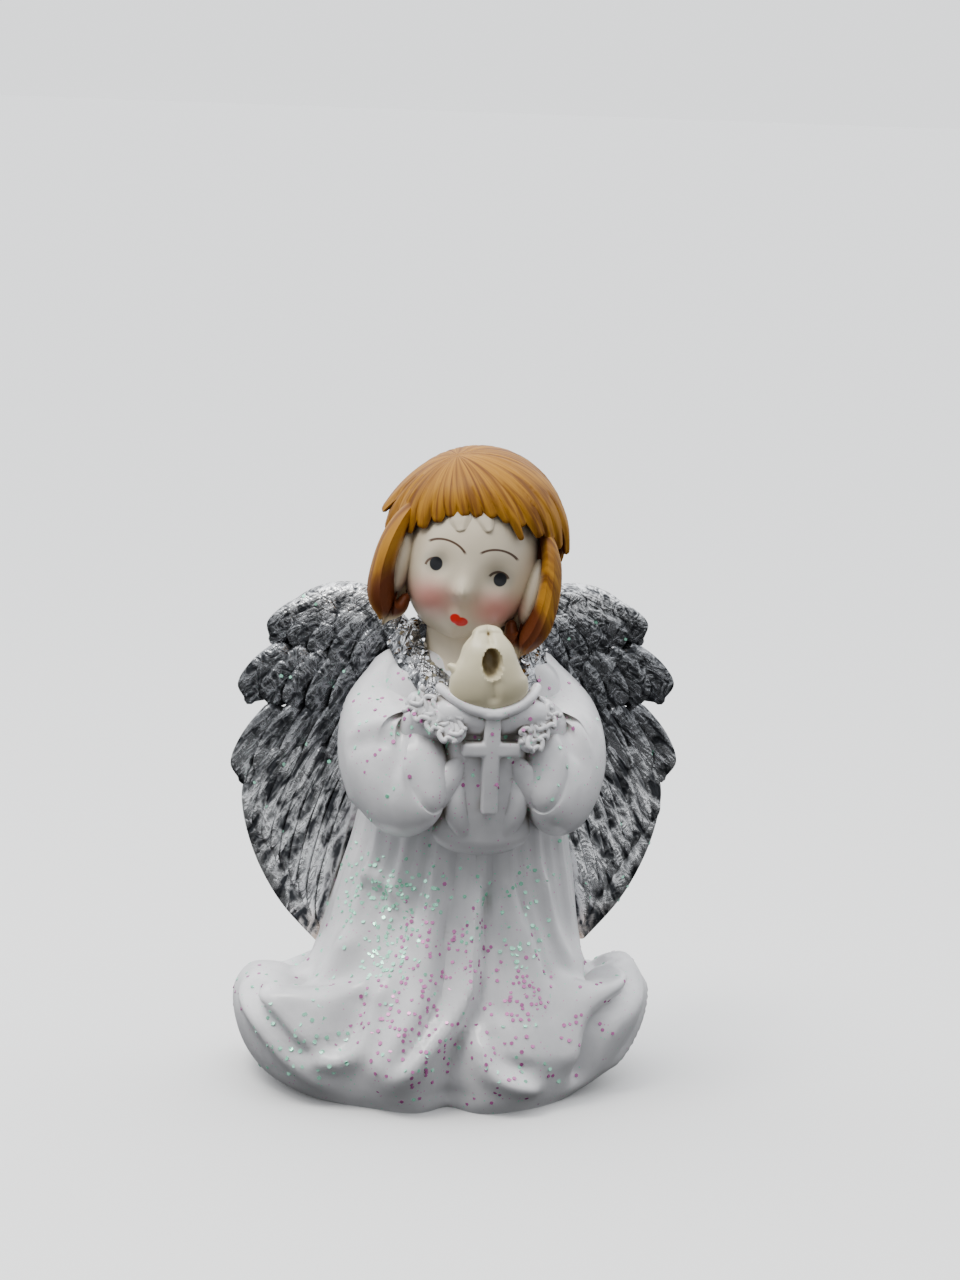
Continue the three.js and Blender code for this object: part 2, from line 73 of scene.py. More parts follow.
# Drapery: height and half width of each ridge, and its path in degrees from the front and height.
# A negative height is a groove.
FOLDS = [
    ((2.1, 1.7), [(2, 34), (1, 27), (1, 20), (-5, 14.4), (-12, 10.9), (-19, 7.4), (-28, 2.6)]),
    ((-1.7, 1.5), [(9, 32), (8, 27), (7, 21.3), (4, 15.1), (-3, 9.9), (-9, 3)]),
    ((1.4, 2.3), [(-24, 32), (-20, 23), (-19, 17), (-25, 11), (-34, 4.6)]),
    ((-1.2, 0.9), [(-15, 29), (-13, 21.3), (-13, 16.9), (-17, 12.6), (-26, 6)]),
    ((1.6, 4.5), [(27, 26), (29, 16), (27, 7)]),
    ((-0.8, 0.9), [(18, 31), (14, 21), (12, 13)]),
    ((1.7, 1.3), [(2, 11.8), (6, 7.2), (13, 4.9), (26, 3.2)]),
    ((-0.8, 1), [(8, 12), (12, 8.4), (22, 6.6)]),
    ((1.7, 1.5), [(-38, 19), (-37, 13.7), (-37, 11.1), (-41, 8.2), (-51, 5.8)]),
    ((-1.7, 1.6), [(-44, 16), (-44, 12), (-44.5, 9.8), (-49, 8.4)]),
    ((1.4, 4), [(-29, 22), (-27, 14), (-28, 6)]),
    ((1.2, 1.3), [(-86, 15.5), (-67, 11), (-57, 6.5), (-48, 2.4)]),
    ((1, 1), [(-70, 16), (-60, 13), (-53, 9.7), (-46, 7)]),
    ((-0.9, 0.9), [(-78, 15.5), (-63, 12), (-54, 7.6)]),
    ((2, 2.4), [(-62, 22), (-63, 18.5), (-65, 16)]),
    ((1, 1.2), [(-66, 32), (-56, 31.4), (-44, 30), (-35, 27.4), (-26, 23)]),
    ((-2.2, 1.3), [(84, 18), (68, 15), (52, 12), (47, 7), (46, 2.6)]),
    ((1.2, 1.8), [(68, 20), (44, 14), (38, 6)]),
    ((0.9, 1), [(88, 14), (74, 8), (62, 3)]),
    ((-0.5, 0.7), [(26, 33), (32, 25), (38, 17)]),
    ((0.9, 1.6), [(44, 32), (47, 25), (54, 19)]),
    ((1.2, 2.4), [(180, 33), (178, 22), (182, 12), (180, 2)]),
]
# Folds behind, which both sides have.
BACK_FOLDS = [
    ((1.2, 2.6), [(154, 33), (150, 22), (140, 12), (132, 3)]),
    ((-0.7, 0.8), [(167, 32), (164, 20), (158, 8)]),
    ((0.8, 1), [(112, 31), (110, 20), (104, 12)]),
]

# Limbs run through stations of (across, forward, height, half width, half height), for the side at +X.
SLEEVE = [
    (9.2, -0.8, 58.2, 5.8, 5.2), (11.8, -4.6, 53.8, 6.7, 6.6), (11.8, -10.4, 49.8, 7.1, 8.6),
    (10.9, -14.8, 48.2, 6.3, 9.1), (9.5, -17.8, 48.6, 4.8, 8.4), (8.5, -19.4, 49.6, 3.2, 6.6),
]
LAP = [
    (0, -18.4, 57, 4.6, 3), (0, -18.9, 52.5, 5.6, 3), (0, -18.7, 46, 6.2, 3), (0, -17.4, 39.9, 7, 3.2),
]
# The wrists, the rim that holds the hands, the drape below it and the pouch beside the cross.
WRIST = [
    (9.4, -13.6, 53.4, 3.8, 3.8), (7.2, -17.6, 56.2, 3.4, 3.3), (4.6, -20.4, 57.4, 3, 2.7),
    (1.5, -21.4, 56.8, 2.4, 2.2),
]
CUFF_RIM = [
    (6.8, -19.4, 61, 0.7, 0.7), (5.4, -22, 60.1, 0.8, 0.8), (3.2, -23.5, 58.9, 0.8, 0.8), (0, -24, 58.1, 0.8, 0.8),
    (-1.2, -24, 58.2, 0.7, 0.7),
]
DRAPE = [(10, -18.6, 45, 3.4, 2.2), (7.6, -20.2, 46.6, 3, 2.2), (5.2, -20.6, 49, 2, 1.7), (2.8, -20.2, 52, 0.5, 0.6)]
POUCH = [
    (4, -20.2, 48.6, 1.2, 1.2), (4.4, -20.6, 45.6, 1.6, 1.5), (3.8, -20, 42.6, 1.7, 1.6), (2.6, -19, 40.4, 1.4, 1.4),
]
# Lace panels: the corners where a panel starts and ends, and its half width, on each side.
LACE = {-1: ((-10.6, -18.6, 59.2), (-4.6, -23.6, 55), 1.9), 1: ((8.4, -20, 58.6), (4.6, -23.6, 53.6), 1.8)}
RUFFLES = ((-0.85, 0.5), (-0.1, 0.62), (0.7, 0.55))  # place across a panel in half widths, and swing
RUFFLE_HALF = 0.4
# Hands, pressed together at the tips and the heels, with the hollow between the palms.
HANDS = [
    (-0.2, -20.8, 59.4, 4.6, 2.8), (-0.3, -21.4, 60.8, 5.5, 3.3), (-0.6, -21.6, 62.8, 5.3, 3.2),
    (-0.6, -21.3, 65.4, 4.1, 2.9), (-0.6, -20.8, 67.2, 3.4, 2.3), (-0.6, -20.3, 68.6, 2.2, 1.4),
]
LITTLE_FINGER = [(-4.2, -21.6, 62.6, 1.3, 1.3), (-5, -21.6, 63.8, 0.9, 0.9), (-5.8, -21.4, 64.4, 0.5, 0.5)]
# The hollow, seen from the front: middle (across, height), half width and half height, and its depth.
HOLLOW = {"x": -0.45, "z": 65.1, "half": (1.4, 2.2), "depth": 3.5}
# Lines of the hands: the crease below the hollow, the gap between the tips, and the fingers.
HAND_LINES = [
    ((-0.7, 0.8), [(-0.1, -24.7, 60.2), (-0.1, -24.8, 61.4), (-0.1, -24.7, 62.6)]),
    ((-1.1, 0.6), [(-0.5, -23, 67.4), (-0.6, -21.4, 69), (-0.6, -20, 70.2)]),
    ((0.35, 0.5), [(-3.6, -22.6, 65), (-2.9, -22, 67.2), (-1.9, -20.8, 69.4)]),
    ((-0.35, 0.45), [(-4.4, -22.2, 64), (-3.7, -21.8, 66.4), (-2.8, -20.8, 68.6)]),
    ((0.3, 0.5), [(2.3, -22.6, 65), (1.6, -22, 67.4), (0.6, -20.8, 69.4)]),
]
# Folds of the sleeves, on the figure's right (-1) and left (1).
SLEEVE_FOLDS = {
    -1: [
        ((0.7, 1.3), [
            (-17.4, -10, 52), (-16.4, -13, 53.6), (-14.4, -16, 54.9), (-12.2, -17.4, 55.9), (-10.4, -18.4, 57),
        ]),
        ((-0.4, 1), [(-17.6, -12.4, 50.6), (-16.4, -15.2, 52.2), (-14.8, -17.2, 53), (-13.6, -18.2, 53.4)]),
        ((1, 0.9), [(-9.9, -18.8, 57), (-10.9, -20.6, 53), (-11, -21.2, 50), (-10.4, -21.2, 46)]),
        ((-0.8, 1.2), [(-12.6, -19, 54), (-13, -19.8, 50), (-12.6, -19.8, 46)]),
    ],
    1: [
        ((1, 0.9), [(8.6, -19.4, 57.6), (9.4, -20.6, 54), (10, -21, 50), (10, -20.6, 46)]),
        ((-0.5, 0.8), [(11.2, -18.4, 56), (12, -19, 53.4), (13.4, -18.8, 50), (14, -18, 47)]),
        ((0.9, 0.8), [(12.6, -17, 56), (13.8, -17.4, 53), (15, -17, 50), (15.4, -16, 47)]),
        ((-0.8, 0.8), [(13.8, -15, 55.6), (15.6, -15, 52), (16.6, -14, 48.6)]),
    ],
}
# Folds that both sleeves have, for the side at +X.
ELBOW_FOLDS = [
    ((0.8, 1.2), [(17, -5, 54), (18, -8, 49), (16.8, -12, 42.6)]),
    ((-0.8, 0.9), [(17.4, -2.6, 55), (18.4, -5.4, 49.4), (17.2, -8, 44)]),
    ((0.6, 0.9), [(15, 0.4, 58), (16.4, -1.4, 52), (16.2, -3.4, 47)]),
]
NECK = [(0, -4.4, 59, 8.4, 7), (-0.4, -4.6, 63, 8.2, 6.6), (-1.2, -5, 66.4, 5.6, 5.4), (-1.8, -5.4, 70, 5, 5)]

CROSS = {"width": 8.2, "height": 13.9, "stem": 2.3, "bar": 2, "arm": 4.7, "depth": 2.6, "bevel": 0.5}
CROSS_FOOT = (0, -23.7, 43.8)
CROSS_LEAN = math.radians(-1.5)

COLLAR_CENTRE = np.array((-0.4, -3.5, 65.3))
COLLAR = {"half": (9.3, 9.9), "dip": 7.3, "band": 2.6, "thick": 1, "slope": math.radians(44)}

# The head's own frame: face towards -Y, skull about the origin, crown leaning to the figure's left.
HEAD = Matrix.Translation((-0.5, -5.5, 77.4)) @ Euler((0, math.radians(12), math.radians(-12))).to_matrix().to_4x4()
SKULL_HALF = np.array((9.6, 10.6, 12.2))
HAIR_CENTRE = np.array((0, 1.6, 3))
HAIR_HALF = np.array((11.7, 11.6, 11.8))
# Swellings and hollows of the face: direction from the middle of the skull, height, and spread as an angle.
FACE_FORMS = [
    ((0, -1, -0.27), 1.9, 0.115), ((0, -1, -0.1), 0.4, 0.12),
    ((-0.09, -1, -0.33), 0.5, 0.07), ((0.09, -1, -0.33), 0.5, 0.07),
    ((-0.52, -0.8, -0.5), 1.2, 0.34), ((0.52, -0.8, -0.5), 1.2, 0.34),
    ((-0.43, -0.95, -0.08), -0.8, 0.16), ((0.43, -0.95, -0.08), -0.8, 0.16),
    ((0.02, -1, -0.71), 0.8, 0.11), ((0.02, -1, -0.85), 0.5, 0.09), ((0, -0.8, -1.1), 0.9, 0.2),
]
# Ears, half hidden by the curls: middle at +X, and half sizes.
EARS = (np.array((9.5, -2.4, -2.6)), np.array((1.7, 3.6, 5.2)))
# The place on the head where the locks meet, towards the figure's right of the middle.
CROWN = np.array((-0.437, -0.292, 0.851))
CROWN_FRONT = np.array((0.133, -0.957, -0.259))
CROWN_SIDE = np.array((0.889, 0, 0.457))
# Locks of the fringe and temples: turn round the crown from the face, fall from it in degrees at the tip,
# half width, and how far the tip stands off.
FRONT_LOCKS = [
    (-103, 64, 3.2, 2), (-92, 71, 3, 1.1), (-76, 68, 2.5, 0.1), (-60, 63, 2.4, -0.2), (-44, 57, 2.3, -0.3),
    (-29, 52, 2.1, -0.4), (-15, 49, 1.9, -0.4), (-3, 50, 1.8, -0.4), (9, 53, 1.8, -0.4), (20, 57, 1.8, -0.3),
    (30, 64, 1.8, -0.2), (39, 71, 2, -0.1), (34, 79, 1, -0.1), (50, 84, 2.2, 0), (60, 93, 2.2, 0),
    (70, 103, 2.3, 0.3), (82, 112, 2.4, 1.1),
]
PALE_LOCKS = [(-8, 61, 1.6, 0.5), (13, 66, 1.3, 0.5)]  # tips that the hair paint missed
BACK_LOCK_END = -0.42  # how far down the round of the hair the locks behind run, where the bob covers them
# Curls beside the cheeks: (across, forward, height, half depth, half thickness) in the head's frame, for +X.
CURL = [
    (8.6, -1.6, 6.6, 1.6, 0.9), (10.6, -3.6, 3.4, 2.8, 1.3), (11.5, -4.3, 0.2, 3.4, 1.6),
    (11.8, -4.7, -3.6, 3.6, 1.7), (11.3, -5, -7.2, 3.5, 1.9), (9.8, -4.9, -9.3, 3, 1.6),
    (8.3, -4.6, -9, 2.3, 1.2), (7.7, -4.4, -7.6, 1.5, 0.8),
]
# The bob cut through, as (distance from the middle of the head, height), and where it starts and ends in degrees.
BOB_ENDS = (70, 290)
BOB_CUT = [
    (10.6, 5), (12.5, 1.2), (13.2, -3.4), (12.6, -7.4), (10.4, -9.8),
    (8.4, -8.6), (8.6, -5.4), (9, -1), (8.6, 4),
]

HAIRLINE = (52, 88)  # where the hair under the locks ends, in degrees from the top, in front and at the sides

# The wing at +X, as (across, height) in its own plane.
WING_RIM = [(3, 49), (7.6, 61.6), (13, 68.2), (17.6, 69.2), (21.6, 67.8), (24.6, 65.4)]
WING_RIM_HALF = [1.6, 2.5, 2.1, 1.9, 1.5, 0.8]
# Rows of feathers: how many, root and tip of the first and last, breadth and thickness at the root.
FEATHER_ROWS = [
    (9, (11, 46, 18.6, 18.4), (25, 45, 28.4, 33.6), (6.6, 2.6)),
    (6, (11, 52, 13.6, 38), (26, 51, 31, 41), (6.6, 3.1)),
    (6, (10.6, 59, 12.6, 49), (25, 60, 30.4, 53), (6.6, 3.8)),
    (5, (10.6, 65, 13.6, 56.6), (20, 67.6, 27, 62), (6.2, 4.4)),
    (5, (10.4, 66.6, 12.4, 61.6), (19, 69, 23.4, 65.2), (4.6, 4.8)),
]
# The long feather that closes the lower edge, as (across, height, half width, half thickness).
LOWER_EDGE = [(29.4, 43, 1, 1), (29.6, 38, 1.6, 1), (27.4, 31, 2, 1), (23.6, 24.4, 2.1, 1), (19, 18.4, 1.3, 0.9)]
WING_SPREAD = {1: 1.06, -1: 0.985}
WING_SWEEP = 7.5  # how far the wings' outer edges lie behind their roots

# Sprinkled glitter: patches on the front of the robe, as (across, height, spread, flakes).
MINT_PATCHES = [
    (-8.4, 31, 2.5, 60), (-13.4, 29.5, 2.5, 56), (-12.8, 24, 3, 84), (1.4, 30.3, 1.8, 14), (8.2, 30, 2.2, 18),
    (6.8, 22.8, 2, 28), (-25, 10.5, 3, 45), (-14, 20, 2.5, 30), (-1.2, 25, 1.2, 10), (-6, 11.5, 4, 14),
    (6.5, 7, 4, 14), (-22.5, 8, 2.5, 24), (-14, 40, 4, 16), (-12, 54, 4, 22), (10, 50, 5, 16),
]
MAGENTA_PATCHES = [
    (-7.5, 21, 3.5, 60), (6.6, 16.8, 3, 64), (-1.2, 23.2, 2.6, 30), (-8.4, 8.4, 3.2, 54), (4.3, 7, 4, 36),
    (-14.3, 12.4, 2.8, 28), (-9.8, 15.7, 2.5, 28), (18, 13, 3, 24), (-11, 56, 4, 26), (0, 49, 3.5, 14),
    (10, 57, 4, 12),
]
MINT, MAGENTA, SILVER = range(3)  # the flakes' materials, in order
FLAKE_THICK = 0.12
FLAKE_LOWEST = 0.8  # flakes keep this far above the table

# Helpers


def smooth(x, low, high):
    s = np.clip((x - low) / (high - low), 0, 1)
    return s * s * (3 - 2 * s)


def lerp(a, b, t):
    return a + (b - a) * t


def unit(v):
    v = np.asarray(v, float)
    return v / np.linalg.norm(v, axis=-1, keepdims=True)


def spline(points, t):
    """A smooth curve through points, at shares t from the first to the last."""
    p = np.asarray(points, float)
    last = len(p) - 1
    at = np.clip(t, 0, 1) * last
    i = np.minimum(at.astype(int), last - 1)
    w = (at - i)[:, None]
    before, a, b, after = p[np.maximum(i - 1, 0)], p[i], p[i + 1], p[np.minimum(i + 2, last)]
    out, into = (b - before) / 2, (after - a) / 2
    return (2 * a - 2 * b + out + into) * w**3 + (3 * b - 3 * a - 2 * out - into) * w**2 + out * w + a


def mesh_of(bm, name):
    mesh = bpy.data.meshes.new(name)
    bm.to_mesh(mesh)
    bm.free()
    return mesh


def placed(name, data):
    """A new object in the scene, for a mesh, camera or light."""
    made = bpy.data.objects.new(name, data)
    bpy.context.scene.collection.objects.link(made)
    return made


form_paint = []


def keep(bm, paint, head=False):
    """Stores a closed form, made in millimetres, with the paint that it takes."""
    if head:
        bmesh.ops.transform(bm, matrix=HEAD, verts=bm.verts)
    bmesh.ops.recalc_face_normals(bm, faces=bm.faces)
    if bm.calc_volume(signed=True) < 0:
        bmesh.ops.reverse_faces(bm, faces=bm.faces)
    form_paint.append((placed("form", mesh_of(bm, "form")), paint))


def moulded(around, along, place):
    """A ball whose skin is moved: place gets the turn round it and the share from its lower to its upper pole."""
    bm = bmesh.new()
    bmesh.ops.create_uvsphere(bm, u_segments=around, v_segments=along, radius=1)
    skin = np.array([v.co for v in bm.verts])
    turn = np.arctan2(skin[:, 1], skin[:, 0])
    share = np.arccos(np.clip(-skin[:, 2], -1, 1)) / np.pi
    for vert, point in zip(bm.verts, place(turn, share)):
        vert.co = point
    return bm


def run_out(count):
    """A fold's share of its height along its path: it rises from nothing and dies away."""
    t = np.linspace(0, 1, count)
    return smooth(t, 0, 0.15) * (1 - smooth(t, 0.85, 1))


def ridges(folds, points):
    """How far folds lift points: each has a height, a half width and a path."""
    total = np.zeros(len(points))
    for (height, width), path in folds:
        track = spline(path, np.linspace(0, 1, 30))
        away = np.linalg.norm(points[:, None] - track[None], axis=2)
        total += height * (run_out(30) * np.exp(-((away / width) ** 2))).max(1)
    return total


def rounded_ends(share, cap):
    """The bend of the round caps at both ends, from -90 to 90 degrees, and the share of the way between them."""
    bend = (np.clip(1 - (1 - share) / cap, 0, 1) - np.clip(1 - share / cap, 0, 1)) * np.pi / 2
    return bend, np.clip((share - cap) / (1 - 2 * cap), 0, 1)


def limb(stations, flat, around, along, cap=0.1, wave=None, folds=()):
    """An oval limb through stations, round at both ends. flat is the way that the height of a section runs."""
    stations = np.asarray(stations, float)
    flat = np.asarray(flat, float)

    def place(turn, share):
        bend, t = rounded_ends(share, cap)
        at = spline(stations, t)
        step = 0.01
        heading = unit(spline(stations, t + step)[:, :3] - spline(stations, t - step)[:, :3])
        across = unit(np.cross(flat, heading))
        upright = np.cross(heading, across)
        half = at[:, 3:]
        size = np.cos(bend) * (wave(t, turn) if wave else 1)
        middle = at[:, :3] + heading * (np.sin(bend) * half.min(1))[:, None]
        wide = across * (size * half[:, 0] * np.cos(turn))[:, None]
        skin = middle + wide + upright * (size * half[:, 1] * np.sin(turn))[:, None]
        outward = skin - middle
        outward /= np.maximum(np.linalg.norm(outward, axis=1, keepdims=True), 1e-6)
        return skin + outward * (np.cos(bend) * ridges(folds, skin))[:, None]

    return moulded(around, along, place)


def on_side(stations, side):
    return [(side * x, *rest) for x, *rest in stations]


# Robe


def fold_heights(folds, angle, z):
    lap = 2 * np.pi * UNROLL
    out = np.zeros_like(z)
    for (height, width), path in folds:
        track = spline([(math.radians(turn) * UNROLL, level) for turn, level in path], np.linspace(0, 1, 50))
        aside = np.abs(angle[:, None] * UNROLL - track[:, 0]) % lap
        away = np.hypot(np.minimum(aside, lap - aside), z[:, None] - track[:, 1])
        out += height * (run_out(50) * np.exp(-((away / width) ** 2))).max(1)
    return out


def robe_place(turn, share, rings):
    angle = (turn + np.pi / 2 + np.pi) % (2 * np.pi) - np.pi
    rise = np.cumsum([0, *np.linalg.norm(np.diff(ROBE_RIGHT, axis=0), axis=1)])
    t = np.interp((share * rings - 1) / (rings - 2), rise / rise[-1], np.linspace(0, 1, len(rise)))
    side = smooth(np.abs(np.sin(angle)), 0.56, 0.97)
    front = (1 - side) * smooth(np.cos(angle), -0.3, 0.3)
    left = np.where(np.sin(angle) > 0, side, 0)
    shares = (side - left, left, front, 1 - side - front)
    plain = sum(spline(o, t) * s[:, None] for o, s in zip((ROBE_RIGHT, ROBE_LEFT, ROBE_FRONT, ROBE_BACK), shares))
    behind = side * smooth(-np.cos(angle), 0.05, 0.45)
    z = np.maximum(plain[:, 1], 0)
    z = z - LOBE_DROP["depth"] * behind * np.exp(-(((z - LOBE_DROP["height"]) / LOBE_DROP["spread"]) ** 2))
    paired = [(size, on_side(path, side)) for size, path in BACK_FOLDS for side in (-1, 1)]
    out = fold_heights(FOLDS + paired, angle, z)
    gathered = smooth(z, 21, 32) * (1 - smooth(z, 38, 42))
    (wide, few), (fine, many) = GATHERS
    out += gathered * (wide * np.cos(few * angle) + fine * np.cos(many * angle + 1.3 * np.sin(5 * angle)))
    notch = (angle - KNEE_NOTCH["turn"]) / KNEE_NOTCH["half"]
    out -= KNEE_NOTCH["depth"] * np.exp(-notch * notch - z / KNEE_NOTCH["fade"])
    radius = plain[:, 0] + out * lerp(0.55, 1, smooth(z, 0, 3))
    radius = np.where((share < 0.5 / rings) | (share > 1 - 0.5 / rings), 0, radius)
    x = -1.6 * (1 - smooth(z, 0, 40)) + radius * np.sin(angle)
    y = -4 * smooth(z, 22, 62) - radius * np.cos(angle)
    return np.stack([x, y, z], 1)


def robe():
    around, rings = ROBE_MESH
    keep(moulded(around, rings, lambda turn, share: robe_place(turn, share, rings)), "robe")


# Sleeves, cuffs, hands and cross


def sleeves():
    for side in (-1, 1):
        folds = SLEEVE_FOLDS[side] + [(size, on_side(path, side)) for size, path in ELBOW_FOLDS]
        keep(limb(on_side(SLEEVE, side), (0, 0.4, 1), 64, 52, cap=0.12, folds=folds), "robe")


def lace_cuffs():
    for side in (-1, 1):
        keep(limb(on_side(WRIST, side), (0, 0.4, 1), 28, 24), "robe")
        keep(limb(on_side(CUFF_RIM, side), (0, -1, 0.4), 16, 40), "robe")
        start, end, half = (np.array(part) for part in LACE[side])
        heading = unit(end - start)
        face = unit(np.array((0.35 * side, -1, 0.35)))
        across = np.cross(heading, face)
        panel = [(*lerp(start, end, t), half * wide, 0.7) for t, wide in ((0, 0.7), (0.3, 1), (0.7, 1), (1, 0.7))]
        keep(limb(panel, face, 20, 30), "robe")
        for row, swing in RUFFLES:
            ruffle = []
            for t in np.linspace(0, 1, 29):
                sway = swing * math.sin(23 * t + 2.2 * row) + row * half
                along = 0.3 * math.sin(46 * t + 1.1)
                lift = 0.55 + 0.15 * math.sin(15 * t + 4 * row)
                place = lerp(start, end, t) + across * sway + heading * along + face * lift
                ruffle.append((*place, RUFFLE_HALF, RUFFLE_HALF))
            keep(limb(ruffle, face, 8, 76, cap=0.03), "robe")


def lap_cloth():
    keep(limb(LAP, (0, -1, 0), 40, 40), "robe")
    for side in (-1, 1):
        keep(limb(on_side(DRAPE, side), (0, -1, 0.3), 24, 36), "robe")
        keep(limb(on_side(POUCH, side), (0, -1, 0), 20, 30), "robe")


def cross():
    c = CROSS
    bm = bmesh.new()
    bmesh.ops.create_grid(bm, x_segments=3, y_segments=3, size=1)
    columns = (-c["width"] / 2, -c["stem"] / 2, c["stem"] / 2, c["width"] / 2)
    bar = c["height"] - c["arm"]
    rows = (0, bar - c["bar"] / 2, bar + c["bar"] / 2, c["height"])
    for vert in bm.verts:
        vert.co.x = columns[round((vert.co.x + 1) * 1.5)]
        vert.co.y = rows[round((vert.co.y + 1) * 1.5)]
    outside = [f for f in bm.faces if abs(f.calc_center_median().x) > c["stem"] / 2]
    outside = [f for f in outside if not rows[1] < f.calc_center_median().y < rows[2]]
    bmesh.ops.delete(bm, geom=outside, context="FACES")
    grown = bmesh.ops.extrude_face_region(bm, geom=bm.faces[:])
    raised = [v for v in grown["geom"] if isinstance(v, bmesh.types.BMVert)]
    bmesh.ops.translate(bm, vec=(0, 0, -c["depth"]), verts=raised)
    bmesh.ops.recalc_face_normals(bm, faces=bm.faces)
    edges = [e for e in bm.edges if e.is_manifold and e.calc_face_angle() > 0.5]
    bmesh.ops.bevel(bm, geom=edges, affect="EDGES", offset=c["bevel"], segments=3, profile=0.5, material=-1)
    stand = Matrix.Rotation(math.pi / 2 - CROSS_LEAN, 4, "X")
    bmesh.ops.transform(bm, matrix=Matrix.Translation(CROSS_FOOT) @ stand, verts=bm.verts)
    keep(bm, "robe")


def hands():
    pressed = limb(HANDS, (0, -1, 0), 96, 84, cap=0.12, folds=HAND_LINES)
    for vert in pressed.verts:
        across = (vert.co.x - HOLLOW["x"]) / HOLLOW["half"][0]
        up = (vert.co.z - HOLLOW["z"]) / HOLLOW["half"][1]
        inside = across * across + up * up
        if vert.co.y < HANDS[2][1] and inside < 1:
            vert.co.y += HOLLOW["depth"] * (1 - inside * inside)
    keep(pressed, "hands")
    keep(limb(LITTLE_FINGER, (0, -1, 0), 16, 20), "hands")


# Neck, collar and head


def neck():
    keep(limb(NECK, (0, 1, 0), 40, 20), "skin")


def collar_ring(turn, roll):
    outward = np.stack([np.cos(turn), np.sin(turn), np.zeros_like(turn)], 1)
    low = COLLAR["dip"] * np.maximum(0, -outward[:, 1]) ** 1.3
    middle = COLLAR_CENTRE + outward * (*COLLAR["half"], 0)
    middle[:, 2] -= low
    up = np.array((0, 0, 1))
    fall = outward * math.cos(COLLAR["slope"]) - up * math.sin(COLLAR["slope"])
    face = outward * math.sin(COLLAR["slope"]) + up * math.cos(COLLAR["slope"])
    band = fall * (COLLAR["band"] * np.cos(roll))[:, None]
    return middle + band + face * (COLLAR["thick"] * np.sin(roll))[:, None]


def collar():
    bm = bmesh.new()
    upright = Matrix.Translation((4, 0, 0)) @ Matrix.Rotation(math.pi / 2, 4, "X")
    bmesh.ops.create_circle(bm, segments=20, radius=1, matrix=upright)
    bmesh.ops.spin(bm, geom=bm.verts[:] + bm.edges[:], axis=(0, 0, 1), angle=2 * math.pi, steps=110, use_merge=True)
    ring = np.array([v.co for v in bm.verts])
    turn = np.arctan2(ring[:, 1], ring[:, 0])
    roll = np.arctan2(ring[:, 2], np.hypot(ring[:, 0], ring[:, 1]) - 4)
    for vert, point in zip(bm.verts, collar_ring(turn, roll)):
        vert.co = point
    keep(bm, "collar")


def egg(centre, half, reach, around, along):
    """An egg-shaped lump; reach says how far it stands out along each direction."""

    def place(turn, share):
        fall = np.pi * share
        out = np.stack([np.sin(fall) * np.cos(turn), np.sin(fall) * np.sin(turn), -np.cos(fall)], 1)
        return out * half + out * reach(out)[:, None] + centre

    return moulded(around, along, place)


def face_reach(out):
    total = np.zeros(len(out))
    for at, height, spread in FACE_FORMS:
        away = np.arccos(np.clip(out @ unit(at), -1, 1)) / spread
        total += height * np.exp(-away * away)
    return total


def crown_angles(out):
    turn = np.arctan2(out @ CROWN_SIDE, out @ CROWN_FRONT)
    fall = np.degrees(np.arccos(np.clip(out @ CROWN, -1, 1)))
    return turn, fall


def hair_cap(out):
    """The hair under the locks: it ends over the forehead and tucks in below the ears."""
    face = np.arctan2(out[:, 0], -out[:, 1])
    level = np.degrees(np.arccos(np.clip(out[:, 2], -1, 1)))
    aside = smooth(np.abs(face), 0.6, 1.5)
    end = lerp(*HAIRLINE, aside)
    turn, fall = crown_angles(out)
    grooves = 0.25 * np.cos(21 * turn) * smooth(fall, 8, 40)
    return grooves - 0.1 - 4.4 * smooth(level, end, end + 9)


def lock(turn, fall, half, lift, root=-3, thick=0.95, sink=-0.05):
    """One lock from near the crown to its tip, lying on the hair."""
    stations = []
    for s in np.linspace(0, 1, 8):
        angle = math.radians(turn)
        drop = math.radians(lerp(root, fall, s))
        out = math.cos(drop) * CROWN + math.sin(drop) * (math.cos(angle) * CROWN_FRONT + math.sin(angle) * CROWN_SIDE)
        swell = math.sin(math.pi * min(1, 0.12 + 0.62 * s)) ** 0.8
        taper = 1 - 0.45 * max(0, (s - 0.6) / 0.4) ** 1.6
        rise = lift * max(0, (s - 0.45) / 0.55) ** 2
        place = HAIR_CENTRE + out * (HAIR_HALF + rise - sink)
        stations.append((*place, half * swell * taper, thick * (0.55 + 0.45 * swell) * taper))
    middle = np.array(stations)[4, :3] - HAIR_CENTRE
    return limb(stations, middle, 18, 28, cap=0.08, wave=lambda t, turn: 1 + 0.09 * np.cos(6 * turn))


def strands(t, turn):
    return 1 + 0.05 * np.cos(9 * turn) * np.sin(np.pi * t)


def bob_place(turn, share):
    cut = np.array(BOB_CUT + BOB_CUT[:1], float)
    outline = spline(cut, turn / (2 * np.pi) % 1)
    centre = cut[:-1].mean(0)
    bend, s = rounded_ends(share, 0.06)
    round_head = np.radians(lerp(*BOB_ENDS, s)) + np.sin(bend) * 0.09
    profile = centre + (outline - centre) * np.cos(bend)[:, None]
    waves = 0.28 * np.cos(2 * np.pi * 8 * s) + 0.18 * np.cos(2 * np.pi * 23 * s + 1)
    out = profile[:, 0] + waves * np.cos(bend) * smooth(profile[:, 0], 10, 12)
    return np.stack([out * np.sin(round_head), 0.8 - out * np.cos(round_head), profile[:, 1]], 1)


